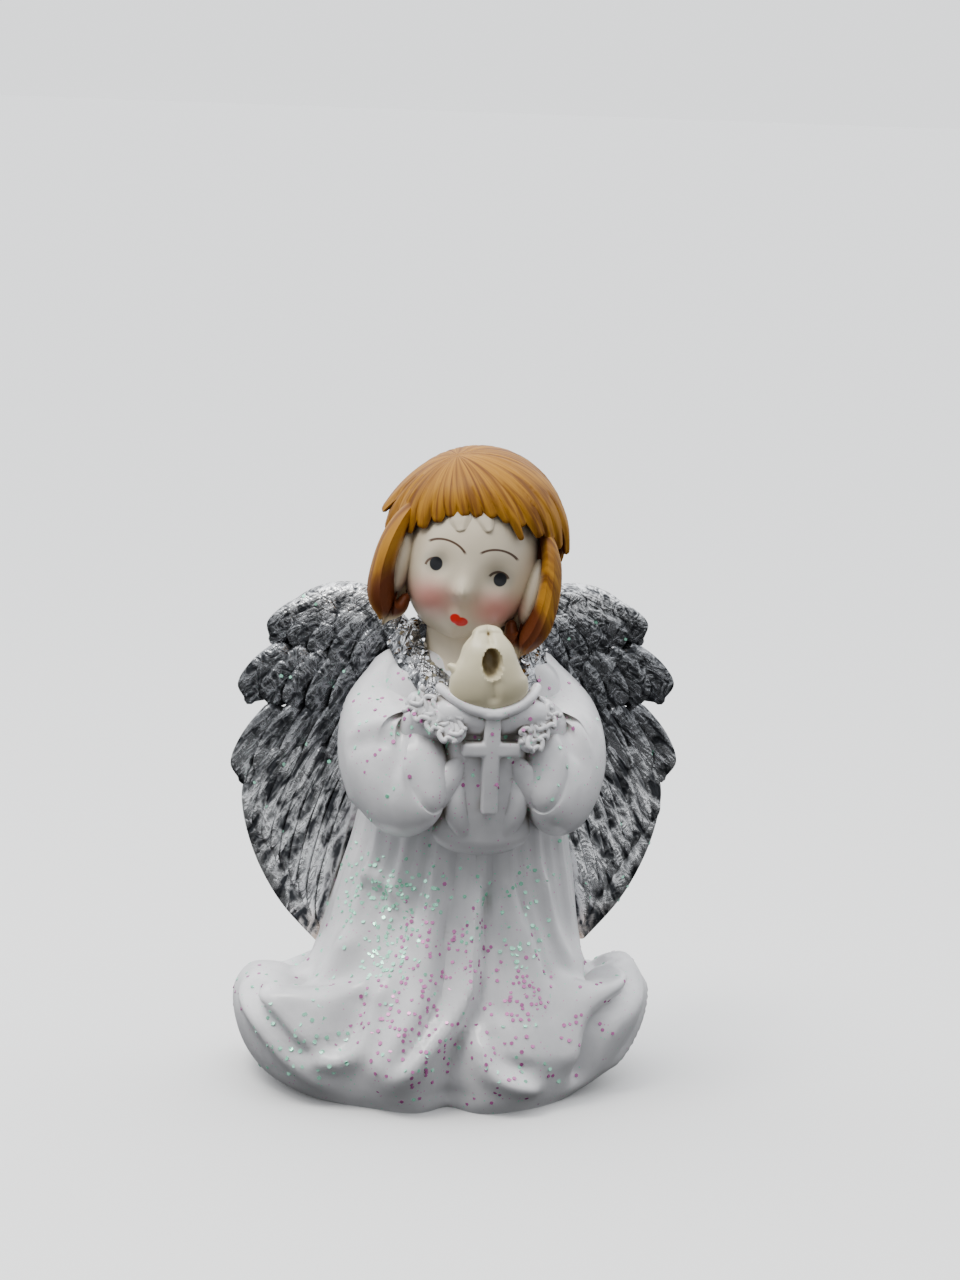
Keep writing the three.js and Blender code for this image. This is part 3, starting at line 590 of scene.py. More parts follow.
def head():
    keep(egg(np.zeros(3), SKULL_HALF, face_reach, 96, 66), "skin", head=True)
    keep(egg(HAIR_CENTRE, HAIR_HALF, hair_cap, 120, 48), "hair", head=True)
    keep(moulded(40, 110, bob_place), "hair", head=True)
    for side in (-1, 1):
        keep(limb(on_side(CURL, side), (side, 0, 0.2), 24, 44, cap=0.08, wave=strands), "hair", head=True)
        keep(egg(EARS[0] * (side, 1, 1), EARS[1], lambda out: np.zeros(len(out)), 24, 16), "skin", head=True)
    for turn, fall, half, lift in FRONT_LOCKS:
        keep(lock(turn, fall, half, lift), "hair", head=True)
    for turn, fall, half, lift in PALE_LOCKS:
        keep(lock(turn, fall, half, lift, root=fall - 22, thick=0.6, sink=0.7), "skin", head=True)
    for turn in np.arange(94, 256, 13.5):
        turn += draw.uniform(-3, 3)
        way = math.cos(math.radians(turn)) * CROWN_FRONT + math.sin(math.radians(turn)) * CROWN_SIDE
        falls = np.radians(np.arange(30, 160))
        below = np.cos(falls) * CROWN[2] + np.sin(falls) * way[2] < BACK_LOCK_END
        keep(lock(turn, np.degrees(falls[below.argmax()]), draw.uniform(2.2, 2.8), 0.6), "hair", head=True)


# Wings


def wing_point(across, height, side):
    out = np.clip((across - 6) / 24, 0, 1)
    swept = WING_SWEEP * math.sin(out * math.pi / 2)
    forward = 3 * (1 - smooth(height, 18, 44))
    return side * WING_SPREAD[side] * across, 5 + swept - forward, height


def feather(place, breadth, thick, side):
    root_x, root_z, tip_x, tip_z = place
    stations = []
    for s in np.linspace(0, 1, 8):
        across = lerp(root_x, tip_x, s) + 0.7 * math.sin(math.pi * s)
        wide = 0.62 + 0.38 * math.sin(math.pi * min(1, 0.15 + 0.6 * s))
        tip = math.sqrt(max(0.05, 1 - max(0, (s - 0.7) / 0.31) ** 2))
        half = (0.5 * breadth * wide * tip, 0.42 * thick * (1 - 0.45 * s))
        stations.append((*wing_point(across, lerp(root_z, tip_z, s), side), *half))

    def shaft(t, turn):
        return 1 + 0.16 * np.exp(-((np.abs(np.cos(turn)) / 0.2) ** 2))

    return limb(stations, (0.42 * side, 1, 0.1), 16, 26, cap=0.06, wave=shaft)


def wings():
    for side in (-1, 1):
        rim = [(*wing_point(x, z, side), half, half) for (x, z), half in zip(WING_RIM, WING_RIM_HALF)]
        keep(limb(rim, (0, 1, 0), 28, 50), "wings")
        edge = [(*wing_point(x, z, side), *half) for x, z, *half in LOWER_EDGE]
        keep(limb(edge, (0, 1, 0), 20, 50), "wings")
        for count, first, last, size in FEATHER_ROWS:
            for i in range(count):
                place = lerp(np.array(first), np.array(last), i / (count - 1))
                keep(feather(place, *size, side), "wings")


# Paint

PAINT_ORDER = ["robe", "hair", "skin", "hands", "collar", "wings"]


def colour(hex_value):
    """An sRGB hex value as linear colour."""
    parts = [int(hex_value[i:i + 2], 16) / 255 for i in (0, 2, 4)]
    return (*[p / 12.92 if p <= 0.04045 else ((p + 0.055) / 1.055) ** 2.4 for p in parts], 1)


def node(tree, kind, inputs=None, out=0, **settings):
    """Adds a node with its settings and links, and gives one of its outputs; an input that is a socket is linked."""
    made = tree.nodes.new("ShaderNode" + kind)
    for name, value in settings.items():
        setattr(made, name, value)
    for key, value in (inputs or {}).items():
        if isinstance(value, bpy.types.NodeSocket):
            tree.links.new(value, made.inputs[key])
        else:
            made.inputs[key].default_value = value
    return made.outputs[out]


def paint(name, **sockets):
    """A new material with a Principled shader, and its tree."""
    made = bpy.data.materials.new(name)
    made.use_nodes = True
    tree = made.node_tree
    shader = tree.nodes["Principled BSDF"]
    for key, value in sockets.items():
        shader.inputs[key.replace("_", " ")].default_value = value
    return made, tree, shader


IN_MM = {3: (MM, MM, MM)}  # object coordinates brought to millimetres
SOFT = {"interpolation_type": "SMOOTHSTEP"}


def robe_paint():
    # Pearl lacquer over white primer: a soft satin white, with painted shade in the creases, that holds fine glitter.
    made, tree, shader = paint("pearl_lacquer_on_white_resin", Roughness=0.34, Coat_Weight=0.35, Coat_Roughness=0.18)
    where = node(tree, "TexCoord", out="Object")
    at = node(tree, "Mapping", {0: where, **IN_MM}, vector_type="TEXTURE")
    shut = node(tree, "Attribute", out="Fac", attribute_name="recess")
    cloud = node(tree, "TexNoise", {0: at, "Scale": 1 / 7, "Detail": 3})
    cloud = node(tree, "MapRange", {0: cloud, 1: 0.35, 2: 0.7}, **SOFT)
    base = node(tree, "Mix", {0: cloud, 6: colour("D8D8DB"), 7: colour("EAE9EC")}, 2, data_type="RGBA")
    # Painted shade: grey-brown wherever the recess attribute says the surface is shut in.
    crease_shade = node(tree, "MapRange", {0: shut, 1: 0.14, 2: 0.62, 4: 0.85}, **SOFT)
    base = node(tree, "Mix", {0: crease_shade, 6: base, 7: colour("857C72")}, 2, data_type="RGBA")
    cells = node(tree, "TexVoronoi", {0: at, "Scale": 1 / 0.5}).node
    chance = node(tree, "SeparateColor", {0: cells.outputs["Color"]}).node
    dot = node(tree, "Math", {0: cells.outputs["Distance"], 1: 0.24}, operation="LESS_THAN")
    rare = node(tree, "Math", {0: chance.outputs[0], 1: 0.82}, operation="GREATER_THAN")
    dot = node(tree, "Math", {0: dot, 1: rare}, operation="MULTIPLY")
    kind = node(tree, "Math", {0: chance.outputs[1], 1: 0.55}, operation="GREATER_THAN")
    tint = node(tree, "Mix", {0: kind, 6: colour("DD9DC8"), 7: colour("A2EBCF")}, 2, data_type="RGBA")
    base = node(tree, "Mix", {0: dot, 6: base, 7: tint}, 2, data_type="RGBA")
    tree.links.new(base, shader.inputs["Base Color"])
    grain = node(tree, "TexNoise", {0: at, "Scale": 1 / 1.3, "Detail": 4})
    bump = node(tree, "Bump", {"Strength": 0.5, "Distance": 0.1 * MM, "Height": grain})
    tree.links.new(bump, shader.inputs["Normal"])
    return made


def hair_paint():
    # Ginger acrylic, with painted shade in the grooves and darker painted shade in the hollow inside each curl; it
    # fades to bare ivory beside the cheeks, where the brush didn't reach.
    made, tree, shader = paint("ginger_acrylic_with_brown_wash", Roughness=0.55, Specular_IOR_Level=0.25)
    where = node(tree, "TexCoord", out="Object")
    crown = HEAD.to_3x3() @ Matrix((CROWN_FRONT, CROWN_SIDE, CROWN)).transposed()
    middle = (HEAD @ Vector(HAIR_CENTRE)) * MM
    at = node(tree, "Mapping", {0: where, 1: middle, 2: crown.to_euler(), **IN_MM}, vector_type="TEXTURE")
    axes = node(tree, "SeparateXYZ", {0: at}).node
    angle = node(tree, "Math", {0: axes.outputs[1], 1: axes.outputs[0]}, operation="ARCTAN2")
    angle = node(tree, "Math", {0: angle, 1: 11.0}, operation="MULTIPLY")
    along = node(tree, "Math", {0: axes.outputs[2], 1: 0.12}, operation="MULTIPLY")
    strand_at = node(tree, "CombineXYZ", {0: angle, 1: along})
    strand = node(tree, "TexNoise", {0: strand_at, "Scale": 1.0, "Detail": 4, "Distortion": 0.8})
    tone = node(tree, "MapRange", {0: strand, 1: 0.3, 2: 0.68}, **SOFT)
    base = node(tree, "Mix", {0: tone, 6: colour("6E400A"), 7: colour("B07A1E")}, 2, data_type="RGBA")
    shut = node(tree, "Attribute", out="Fac", attribute_name="recess")
    # Painted shade: brown where the surface is shut in, a little less on the lighter strands.
    groove_shade = node(tree, "Math", {0: strand, 1: -0.25, 2: shut}, operation="MULTIPLY_ADD")
    groove_shade = node(tree, "MapRange", {0: groove_shade, 1: 0.08, 2: 0.5}, **SOFT)
    base = node(tree, "Mix", {0: groove_shade, 6: base, 7: colour("54260A")}, 2, data_type="RGBA")
    on_head = {1: HEAD.translation * MM, 2: HEAD.to_euler(), **IN_MM}
    head_at = node(tree, "Mapping", {0: where, **on_head}, vector_type="TEXTURE")
    head_axes = node(tree, "SeparateXYZ", {0: head_at}).node
    aside = node(tree, "Math", {0: head_axes.outputs[0]}, operation="ABSOLUTE")
    inner = node(tree, "MapRange", {0: aside, 1: 10.6, 2: 9.6}, **SOFT)
    beside = node(tree, "MapRange", {0: head_axes.outputs[2], 1: 1.5, 2: -0.5}, **SOFT)
    front = node(tree, "MapRange", {0: head_axes.outputs[1], 1: 0.0, 2: -2.0}, **SOFT)
    bare = node(tree, "Math", {0: inner, 1: beside}, operation="MULTIPLY")
    bare = node(tree, "Math", {0: bare, 1: front}, operation="MULTIPLY")
    base = node(tree, "Mix", {0: bare, 6: base, 7: colour("CBBB9C")}, 2, data_type="RGBA")
    # Painted shade: dark brown in the hollow inside each curl, beside the cheek.
    mirrored = node(tree, "CombineXYZ", {0: aside, 1: head_axes.outputs[1], 2: head_axes.outputs[2]})
    away = node(tree, "VectorMath", {0: mirrored, 1: (9.4, -7, -7)}, "Value", operation="DISTANCE")
    inside = node(tree, "MapRange", {0: away, 1: 4.6, 2: 2.6}, **SOFT)
    base = node(tree, "Mix", {0: inside, 6: base, 7: colour("5A2A0C")}, 2, data_type="RGBA")
    tree.links.new(base, shader.inputs["Base Color"])
    bump = node(tree, "Bump", {"Strength": 0.4, "Distance": 0.12 * MM, "Height": strand})
    tree.links.new(bump, shader.inputs["Normal"])
    return made


def skin_paint():
    # Ivory satin paint with sprayed cheeks; the eyes, brows and lips are brushed on.
    made, tree, shader = paint("ivory_satin_paint", Roughness=0.36, Coat_Weight=0.15, Coat_Roughness=0.25)
    where = node(tree, "TexCoord", out="Object")
    on_head = {1: HEAD.translation * MM, 2: HEAD.to_euler(), **IN_MM}
    at = node(tree, "Mapping", {0: where, **on_head}, vector_type="TEXTURE")
    axes = node(tree, "SeparateXYZ", {0: at}).node
    flat = node(tree, "CombineXYZ", {0: axes.outputs[0], 1: axes.outputs[2]})

    def spot(x, z, wide, high, soft):
        """1 inside an oval on the face, with a soft edge."""
        local = node(tree, "Mapping", {0: flat, 1: (x, z, 0), 3: (wide, high, 1)}, vector_type="TEXTURE")
        away = node(tree, "VectorMath", {0: local}, "Value", operation="LENGTH")
        return node(tree, "MapRange", {0: away, 1: 1 + soft, 2: 1 - soft}, **SOFT)

    def arc(x, z, wide, high, thick, start, end):
        """A thin brushed arc: part of an oval's edge, between two angles in degrees."""
        local = node(tree, "Mapping", {0: flat, 1: (x, z, 0), 3: (wide, high, 1)}, vector_type="TEXTURE")
        away = node(tree, "VectorMath", {0: local}, "Value", operation="LENGTH")
        off = node(tree, "Math", {0: away, 1: 1.0}, operation="SUBTRACT")
        off = node(tree, "Math", {0: off}, operation="ABSOLUTE")
        line = node(tree, "MapRange", {0: off, 1: thick * 1.3, 2: thick * 0.6}, **SOFT)
        sides = node(tree, "SeparateXYZ", {0: local}).node
        angle = node(tree, "Math", {0: sides.outputs[1], 1: sides.outputs[0]}, operation="ARCTAN2")
        late = node(tree, "MapRange", {0: angle, 1: math.radians(start), 2: math.radians(start + 12)}, **SOFT)
        early = node(tree, "MapRange", {0: angle, 1: math.radians(end), 2: math.radians(end - 12)}, **SOFT)
        part = node(tree, "Math", {0: late, 1: early}, operation="MULTIPLY")
        return node(tree, "Math", {0: line, 1: part}, operation="MULTIPLY")

    cloud = node(tree, "TexNoise", {0: at, "Scale": 1 / 5, "Detail": 2})
    base = node(tree, "Mix", {0: cloud, 6: colour("D3C5AC"), 7: colour("E2D6BF")}, 2, data_type="RGBA")
    shut = node(tree, "Attribute", out="Fac", attribute_name="recess")
    shade = node(tree, "MapRange", {0: shut, 1: 0.4, 2: 0.95, 4: 0.6}, **SOFT)
    base = node(tree, "Mix", {0: shade, 6: base, 7: colour("7A6350")}, 2, data_type="RGBA")
    front = node(tree, "Math", {0: axes.outputs[1], 1: -2.0}, operation="LESS_THAN")
    for mark, strength, tone in (
        (spot(-4.1, -5.8, 3, 2.3, 0.9), 0.7, "DC7C78"),
        (spot(5, -5.4, 3, 2.3, 0.9), 0.7, "DC7C78"),
        (spot(-0.15, -7.75, 0.75, 0.72, 0.15), 1.0, "DE1408"),
        (spot(0.75, -8.05, 0.95, 0.72, 0.15), 1.0, "DE1408"),
        # Painted shade: soft grey round each eye.
        (spot(-4.7, -0.75, 1.7, 1.4, 0.5), 0.45, "87857C"),
        (spot(4.6, -0.75, 1.7, 1.4, 0.5), 0.45, "87857C"),
        (arc(-4.6, -1.5, 1.4, 1.3, 0.13, 70, 200), 0.9, "4A2C1C"),
        (arc(4.4, -1.4, 1.5, 1.45, 0.14, 25, 160), 0.9, "3A2114"),
        (spot(-4.6, -0.95, 0.92, 0.98, 0.1), 1.0, "101218"),
        (spot(4.6, -0.95, 0.92, 0.98, 0.1), 1.0, "101218"),
        (arc(-3.7, 0.2, 3.3, 2.5, 0.065, 28, 148), 0.95, "42230F"),
        (arc(3.7, 0.6, 3.3, 2.5, 0.065, 32, 148), 0.95, "42230F"),
    ):
        strong = node(tree, "Math", {0: mark, 1: strength}, operation="MULTIPLY")
        strong = node(tree, "Math", {0: strong, 1: front}, operation="MULTIPLY")
        base = node(tree, "Mix", {0: strong, 6: base, 7: colour(tone)}, 2, data_type="RGBA")
    tree.links.new(base, shader.inputs["Base Color"])
    grain = node(tree, "TexNoise", {0: at, "Scale": 1 / 0.9, "Detail": 3})
    bump = node(tree, "Bump", {"Strength": 0.12, "Distance": 0.08 * MM, "Height": grain})
    tree.links.new(bump, shader.inputs["Normal"])
    return made


def hand_paint():
    # Cream satin paint, a little yellower than the face, with brown painted shade in its recesses, darkest in the
    # hollow between the palms.
    made, tree, shader = paint("cream_satin_paint", Roughness=0.38, Coat_Weight=0.15, Coat_Roughness=0.25)
    where = node(tree, "TexCoord", out="Object")
    at = node(tree, "Mapping", {0: where, **IN_MM}, vector_type="TEXTURE")
    cloud = node(tree, "TexNoise", {0: at, "Scale": 1 / 3, "Detail": 3})
    base = node(tree, "Mix", {0: cloud, 6: colour("CDC29F"), 7: colour("DDD3B4")}, 2, data_type="RGBA")
    shut = node(tree, "Attribute", out="Fac", attribute_name="recess")
    # Painted shade: brown wherever the surface is shut in.
    shade = node(tree, "MapRange", {0: shut, 1: 0.25, 2: 0.65}, **SOFT)
    base = node(tree, "Mix", {0: shade, 6: base, 7: colour("6E5426")}, 2, data_type="RGBA")
    tree.links.new(base, shader.inputs["Base Color"])
    grain = node(tree, "TexNoise", {0: at, "Scale": 1 / 0.9, "Detail": 3})
    bump = node(tree, "Bump", {"Strength": 0.15, "Distance": 0.08 * MM, "Height": grain})
    tree.links.new(bump, shader.inputs["Normal"])
    return made


def silver_paint(name, low, high):
    # Chrome-effect lacquer brushed on thick: it wrinkles like foil along the feather barbs. Its colour carries a
    # painted highlight on the ridges, over the lower feathers and along the top rim, and painted shade in the grooves;
    # it is rubbed to the resin at the lowest tips.
    made, tree, shader = paint(name, Metallic=0.8)
    where = node(tree, "TexCoord", out="Object")
    at = node(tree, "Mapping", {0: where, **IN_MM}, vector_type="TEXTURE")
    axes = node(tree, "SeparateXYZ", {0: at}).node
    aside = node(tree, "Math", {0: axes.outputs[0]}, operation="ABSOLUTE")
    out = node(tree, "Math", {0: aside, 1: 2.0}, operation="SUBTRACT")
    down = node(tree, "Math", {0: 78.0, 1: axes.outputs[2]}, operation="SUBTRACT")
    angle = node(tree, "Math", {0: out, 1: down}, operation="ARCTAN2")
    angle = node(tree, "Math", {0: angle, 1: 34.0}, operation="MULTIPLY")
    reach = node(tree, "VectorMath", {0: node(tree, "CombineXYZ", {0: out, 1: down})}, "Value", operation="LENGTH")
    reach = node(tree, "Math", {0: reach, 1: 0.2}, operation="MULTIPLY")
    barb_at = node(tree, "CombineXYZ", {0: angle, 1: reach})
    barbs = node(tree, "TexNoise", {0: barb_at, "Scale": 1.0, "Detail": 2, "Distortion": 0.5})
    curls = node(tree, "TexNoise", {0: at, "Scale": 1 / 2.2, "Detail": 2, "Distortion": 2.6})
    upper = node(tree, "MapRange", {0: axes.outputs[2], 1: 46.0, 2: 60.0, 3: 0.2, 4: 0.6}, **SOFT)
    relief = node(tree, "Mix", {0: upper, 2: barbs, 3: curls})
    # Painted highlight: the colour is lighter on the ridges of the relief that also drives the bump.
    ridge = node(tree, "MapRange", {0: relief, 1: 0.38, 2: 0.6}, **SOFT)
    # Painted highlight: the lower feathers and the top rim turn near-white.
    highlight_low = node(tree, "MapRange", {0: axes.outputs[2], 1: 52.0, 2: 36.0}, **SOFT)
    highlight_top = node(tree, "MapRange", {0: axes.outputs[2], 1: 64.0, 2: 69.0}, **SOFT)
    painted_highlight = node(tree, "Math", {0: highlight_low, 1: highlight_top}, operation="MAXIMUM")
    bright = node(tree, "Mix", {0: painted_highlight, 6: colour(high), 7: colour("F2F3F5")}, 2, data_type="RGBA")
    base = node(tree, "Mix", {0: ridge, 6: colour(low), 7: bright}, 2, data_type="RGBA")
    shut = node(tree, "Attribute", out="Fac", attribute_name="recess")
    # Painted shade: near-black wherever the surface is shut in.
    shade = node(tree, "MapRange", {0: shut, 1: 0.25, 2: 0.7, 4: 0.85}, **SOFT)
    base = node(tree, "Mix", {0: shade, 6: base, 7: colour("2A2B2E")}, 2, data_type="RGBA")
    tip = node(tree, "MapRange", {0: axes.outputs[2], 1: 24.0, 2: 18.0}, **SOFT)
    rubbed = node(tree, "Math", {0: tip, 1: ridge}, operation="MULTIPLY")
    base = node(tree, "Mix", {0: rubbed, 6: base, 7: colour("B9A596")}, 2, data_type="RGBA")
    tree.links.new(base, shader.inputs["Base Color"])
    rough = node(tree, "MapRange", {0: relief, 1: 0.3, 2: 0.7, 3: 0.34, 4: 0.17})
    tree.links.new(rough, shader.inputs["Roughness"])
    bump = node(tree, "Bump", {"Strength": 1.0, "Distance": 0.6 * MM, "Height": relief})
    tree.links.new(bump, shader.inputs["Normal"])
    return made


def flake_paint(name, tone, metallic, roughness):
    # Hexagonal polyester flake with a colour-shift film, cut 0.6 mm across.
    made, tree, shader = paint(name, Metallic=metallic, Roughness=roughness)
    where = node(tree, "TexCoord", out="Object")
    at = node(tree, "Mapping", {0: where, **IN_MM}, vector_type="TEXTURE")
    shift = node(tree, "TexNoise", {0: at, "Scale": 1 / 1.5})
    base = node(tree, "Mix", {0: shift, 6: colour(tone[0]), 7: colour(tone[1])}, 2, data_type="RGBA")
    tree.links.new(base, shader.inputs["Base Color"])
    return made


# Fusing the casting

SHARP_ANGLE = math.radians(48)  # edges sharper than this stay crisp


def joined(parts):
    """Closed forms joined one after another into a single closed skin."""
    base = parts[0]
    for part in parts[1:]:
        union = base.modifiers.new("union", "BOOLEAN")
        union.operation = "UNION"
        union.object = part
        union.solver = "MANIFOLD"
    skin = bpy.data.meshes.new_from_object(base.evaluated_get(bpy.context.evaluated_depsgraph_get()))
    for part in parts:
        bpy.data.objects.remove(part)
    return skin


def outermost(mesh):
    """The mesh with its largest connected skin only: pockets shut inside the casting are taken out."""
    bm = bmesh.new()
    bm.from_mesh(mesh)
    left = set(bm.verts)
    skins = []
    while left:
        edge = [left.pop()]
        skin = []
        while edge:
            vert = edge.pop()
            skin.append(vert)
            near = {e.other_vert(vert) for e in vert.link_edges} & left
            left -= near
            edge += near
        skins.append(skin)
    skins.sort(key=len)
    bmesh.ops.delete(bm, geom=[v for skin in skins[:-1] for v in skin], context="VERTS")
    bm.to_mesh(mesh)
    bm.free()
    return mesh


def fuse():
    """All forms joined into one closed skin, with each face's paint."""
    points, faces, paints, groups = [], [], [], {}
    for made, paint_name in form_paint:
        start = len(points)
        points += [v.co.copy() for v in made.data.vertices]
        faces += [[start + i for i in p.vertices] for p in made.data.polygons]
        paints += [PAINT_ORDER.index(paint_name)] * len(made.data.polygons)
        on_right = points[start].x < 0
        group = (paint_name, on_right) if paint_name == "wings" else paint_name in ("hair", "skin")
        groups.setdefault(group, []).append(made)
    tree = BVHTree.FromPolygons(points, faces)
    wholes = []
    for parts in groups.values():
        wholes.append(placed("whole", joined(parts)))
    skin = outermost(joined(wholes))
    skin.materials.clear()
    index = [paints[tree.find_nearest(p.center)[2]] for p in skin.polygons]
    skin.polygons.foreach_set("material_index", index)
    return skin


def mark_recesses(mesh, reach=5.0, rays=20):
    """How far each point is shut in by its neighbours, from 0 to 1, kept as an attribute."""
    points = [v.co.copy() for v in mesh.vertices]
    normals = [n.vector.copy() for n in mesh.vertex_normals]
    tree = BVHTree.FromPolygons(points, [p.vertices for p in mesh.polygons])
    turn = np.arange(rays) * math.pi * (3 - math.sqrt(5))  # golden angle
    rise = np.sqrt((np.arange(rays) + 0.5) / rays)
    fan = [Vector((r * math.cos(t), r * math.sin(t), math.sqrt(1 - r * r))) for r, t in zip(rise, turn)]
    shut = []
    for point, normal in zip(points, normals):
        upright = normal.to_track_quat("Z", "Y")
        start = point + normal * 0.02
        total = 0.0
        for ray in fan:
            away = tree.ray_cast(start, upright @ ray, reach)[3]
            if away is not None:
                total += 1 - away / reach
        shut.append(total / rays)
    layer = mesh.attributes.new("recess", "FLOAT", "POINT")
    layer.data.foreach_set("value", shut)


def piece(name, mesh, materials):
    made = placed(name, mesh)
    for material in materials:
        mesh.materials.append(material)
    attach(made, "root")
    return made


def casting():
    robe()
    sleeves()
    lace_cuffs()
    lap_cloth()
    cross()
    hands()
    neck()
    collar()
    head()
    wings()
    mesh = fuse()
    mark_recesses(mesh, rays=20)
    mesh.name = "angel_casting"
    mesh.polygons.foreach_set("use_smooth", [True] * len(mesh.polygons))
    mesh.set_sharp_from_angle(angle=SHARP_ANGLE)
    return mesh


def glitter(mesh):
    """Flakes lying on the lacquer, where they were sprinkled."""
    # The joining may list the faces in another order each time, so they are put in order of place first.
    faces = sorted(mesh.polygons, key=lambda p: tuple(round(c, 3) for c in p.center))
    centres = np.array([p.center for p in faces])
    normals = np.array([p.normal for p in faces])
    areas = np.array([p.area for p in faces])
    paints = np.array([p.material_index for p in faces])
    on_robe = paints == PAINT_ORDER.index("robe")
    off_table = centres[:, 2] > FLAKE_LOWEST
    whole = bmesh.new()

    def sprinkle(weights, count, kind, size, tilt):
        """Flakes of one kind: size is the half width, and tilt how unevenly they lie."""
        bm = bmesh.new()
        picked = draw.choice(len(areas), count, p=weights / weights.sum())
        for i in picked:
            normal = unit(normals[i] + draw.normal(0, tilt, 3) + (0, 0, 0.25))
            place = centres[i] + draw.normal(0, 0.12, 3) * (1 - np.abs(normals[i]))
            turn = Vector(normal).to_track_quat("Z", "Y").to_matrix().to_4x4()
            spin = Matrix.Rotation(draw.uniform(0, math.pi), 4, "Z")
            radius = size * draw.uniform(0.85, 1.1)
            made = bmesh.ops.create_cone(
                bm, cap_ends=True, segments=6, radius1=radius, radius2=radius, depth=FLAKE_THICK,
                matrix=Matrix.Translation(place) @ turn @ spin,
            )
            for face in {f for v in made["verts"] for f in v.link_faces}:
                face.material_index = kind
        whole.from_mesh(mesh_of(bm, "sprinkled"))

    def patch(x, z, spread):
        near = np.exp(-(((centres[:, 0] - x) ** 2 + (centres[:, 2] - z) ** 2) / (2 * spread**2)))
        return areas * near * on_robe * (normals[:, 1] < -0.1) * off_table

    for x, z, spread, count in MINT_PATCHES:
        sprinkle(patch(x, z, spread), count, MINT, 0.31, 0.22)
    for x, z, spread, count in MAGENTA_PATCHES:
        sprinkle(patch(x, z, spread), count, MAGENTA, 0.3, 0.06)
    behind = areas * on_robe * (normals[:, 1] > -0.1) * (centres[:, 2] < 50) * off_table * (normals[:, 2] > -0.5)
    sprinkle(behind, 130, MINT, 0.3, 0.08)
    sprinkle(behind, 130, MAGENTA, 0.3, 0.08)
    sprinkle(areas * (paints == PAINT_ORDER.index("wings")) * (normals[:, 1] < 0.3), 40, MINT, 0.28, 0.2)
    sprinkle(areas * (paints == PAINT_ORDER.index("collar")) * (normals[:, 2] > -0.2), 360, SILVER, 0.42, 0.6)
    bmesh.ops.scale(whole, vec=(MM, MM, MM), verts=whole.verts)
    return mesh_of(whole, "glitter_flakes")


figure_mesh = casting()
flakes = glitter(figure_mesh)
figure_mesh.transform(Matrix.Scale(MM, 4))
figure = piece(
    "angel_casting",
    figure_mesh,
    [
        robe_paint(),
        hair_paint(),
        skin_paint(),
        hand_paint(),
        silver_paint("silver_lacquer_under_glitter", "3C3D40", "A8AAAE"),
        silver_paint("chrome_lacquer_on_wings", "3A3C40", "A2A4A8"),
    ],
)
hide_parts("angel_figure")
piece(
    "glitter_flakes",
    flakes,
    [
        flake_paint("mint_film_flake", ("74F2BE", "D2FFEE"), 0.35, 0.2),
        flake_paint("magenta_film_flake", ("A9508F", "D084BC"), 0.3, 0.25),
        flake_paint("silver_foil_flake", ("B8BABE", "EDEEF2"), 1.0, 0.12),
    ],
)

# Camera, floor and light

PHOTO_SIZE = (960, 1280)
FOCAL_PX = 3090.6
VIEW_TURN, VIEW_RISE, VIEW_ROLL = math.radians(-10), math.radians(12), math.radians(2)
VIEW_TARGET, VIEW_TARGET_PX, VIEW_DISTANCE = np.array((0, 0, 47.0)), (462, 757), 450


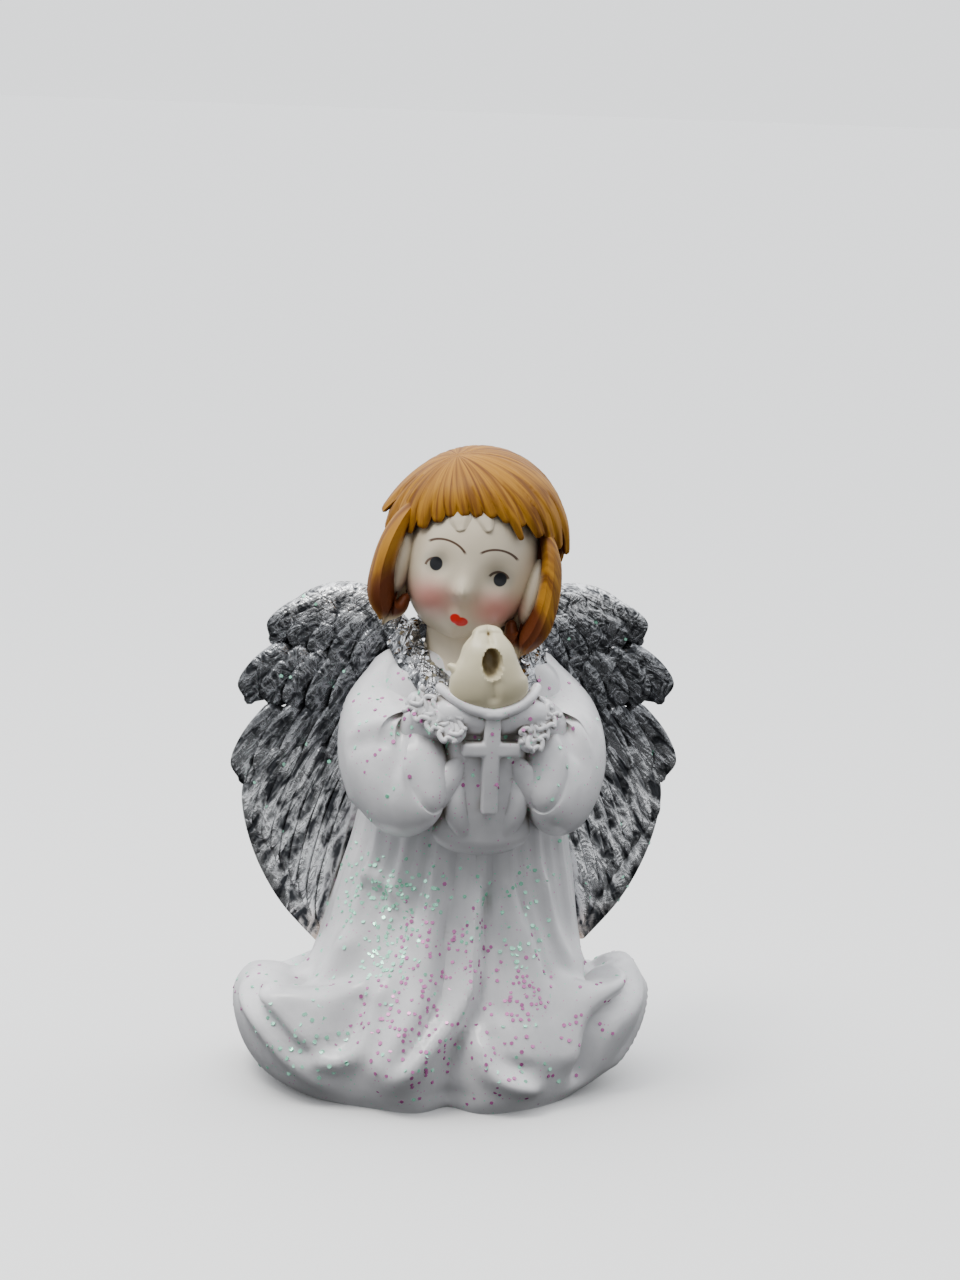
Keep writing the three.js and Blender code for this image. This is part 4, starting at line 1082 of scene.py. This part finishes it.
def photo_camera():
    back = np.array((
        math.sin(VIEW_TURN) * math.cos(VIEW_RISE), -math.cos(VIEW_TURN) * math.cos(VIEW_RISE), math.sin(VIEW_RISE),
    ))
    right = np.array((math.cos(VIEW_TURN), math.sin(VIEW_TURN), 0))
    up = np.cross(back, right)
    right, up = (
        right * math.cos(VIEW_ROLL) + up * math.sin(VIEW_ROLL), up * math.cos(VIEW_ROLL) - right * math.sin(VIEW_ROLL),
    )
    look = Matrix(np.stack([right, up, back], 1).tolist())
    aside = (VIEW_TARGET_PX[0] - PHOTO_SIZE[0] / 2) / FOCAL_PX
    below = (VIEW_TARGET_PX[1] - PHOTO_SIZE[1] / 2) / FOCAL_PX
    aim = Vector((aside, -below, -1)).rotation_difference(Vector((0, 0, -1)))
    lens = bpy.data.cameras.new("photo_camera")
    lens.sensor_width = 36
    lens.lens = FOCAL_PX / PHOTO_SIZE[1] * 36
    lens.clip_start = 0.01
    camera = placed("photo_camera", lens)
    eye = Vector((VIEW_TARGET + back * VIEW_DISTANCE) * MM)
    camera.matrix_world = Matrix.Translation(eye) @ (look @ aim.to_matrix()).to_4x4()
    bpy.context.scene.camera = camera


def lamp(name, place, size, watts, tone):
    light = bpy.data.lights.new(name, "AREA")
    light.shape = "DISK"
    light.size = size
    light.energy = watts
    light.color = colour(tone)[:3]
    made = placed(name, light)
    made.location = place
    made.rotation_euler = (Vector((0, 0, 0.045)) - Vector(place)).to_track_quat("-Z", "Y").to_euler()


def studio():
    """White paper under a bright sky that is behind and above, with a pale skyline that meets the paper."""
    bm = bmesh.new()
    bmesh.ops.create_circle(bm, cap_ends=True, segments=64, radius=60)
    mesh = mesh_of(bm, "floor")
    made, _, shader = paint("white_paper", Roughness=0.9)
    shader.inputs["Base Color"].default_value = colour("EFEFEF")
    mesh.materials.append(made)
    floor = placed("floor", mesh)
    floor.visible_diffuse = False
    floor.visible_glossy = False
    world = bpy.data.worlds.new("studio")
    world.use_nodes = True
    tree = world.node_tree
    way = node(tree, "TexCoord", out="Generated")
    over = node(tree, "VectorMath", {0: way, 1: (0, 0.46, 0.89)}, "Value", operation="DOT_PRODUCT")
    strength = node(tree, "MapRange", {0: over, 1: -0.05, 2: 0.8, 3: 0.08, 4: 2.9}, **SOFT)
    height = node(tree, "SeparateXYZ", {0: way}, 2)
    above = node(tree, "MapRange", {0: height, 1: -0.03, 2: 0.01}, **SOFT)
    band = node(tree, "MapRange", {0: height, 1: 0.34, 2: 0.16}, **SOFT)
    band = node(tree, "Math", {0: above, 1: band}, operation="MULTIPLY")
    skyline = node(tree, "MapRange", {0: height, 1: 0.14, 2: 0.08, 3: 0.55, 4: 1.78}, **SOFT)
    strength = node(tree, "Mix", {0: band, 2: strength, 3: skyline})
    background = tree.nodes["Background"]
    background.inputs[0].default_value = colour("F4F6F8")
    tree.links.new(strength, background.inputs[1])
    bpy.context.scene.world = world
    lamp("top_softbox", (-0.2, -0.12, 0.5), 0.2, 1.6, "FFFCF6")


photo_camera()
studio()
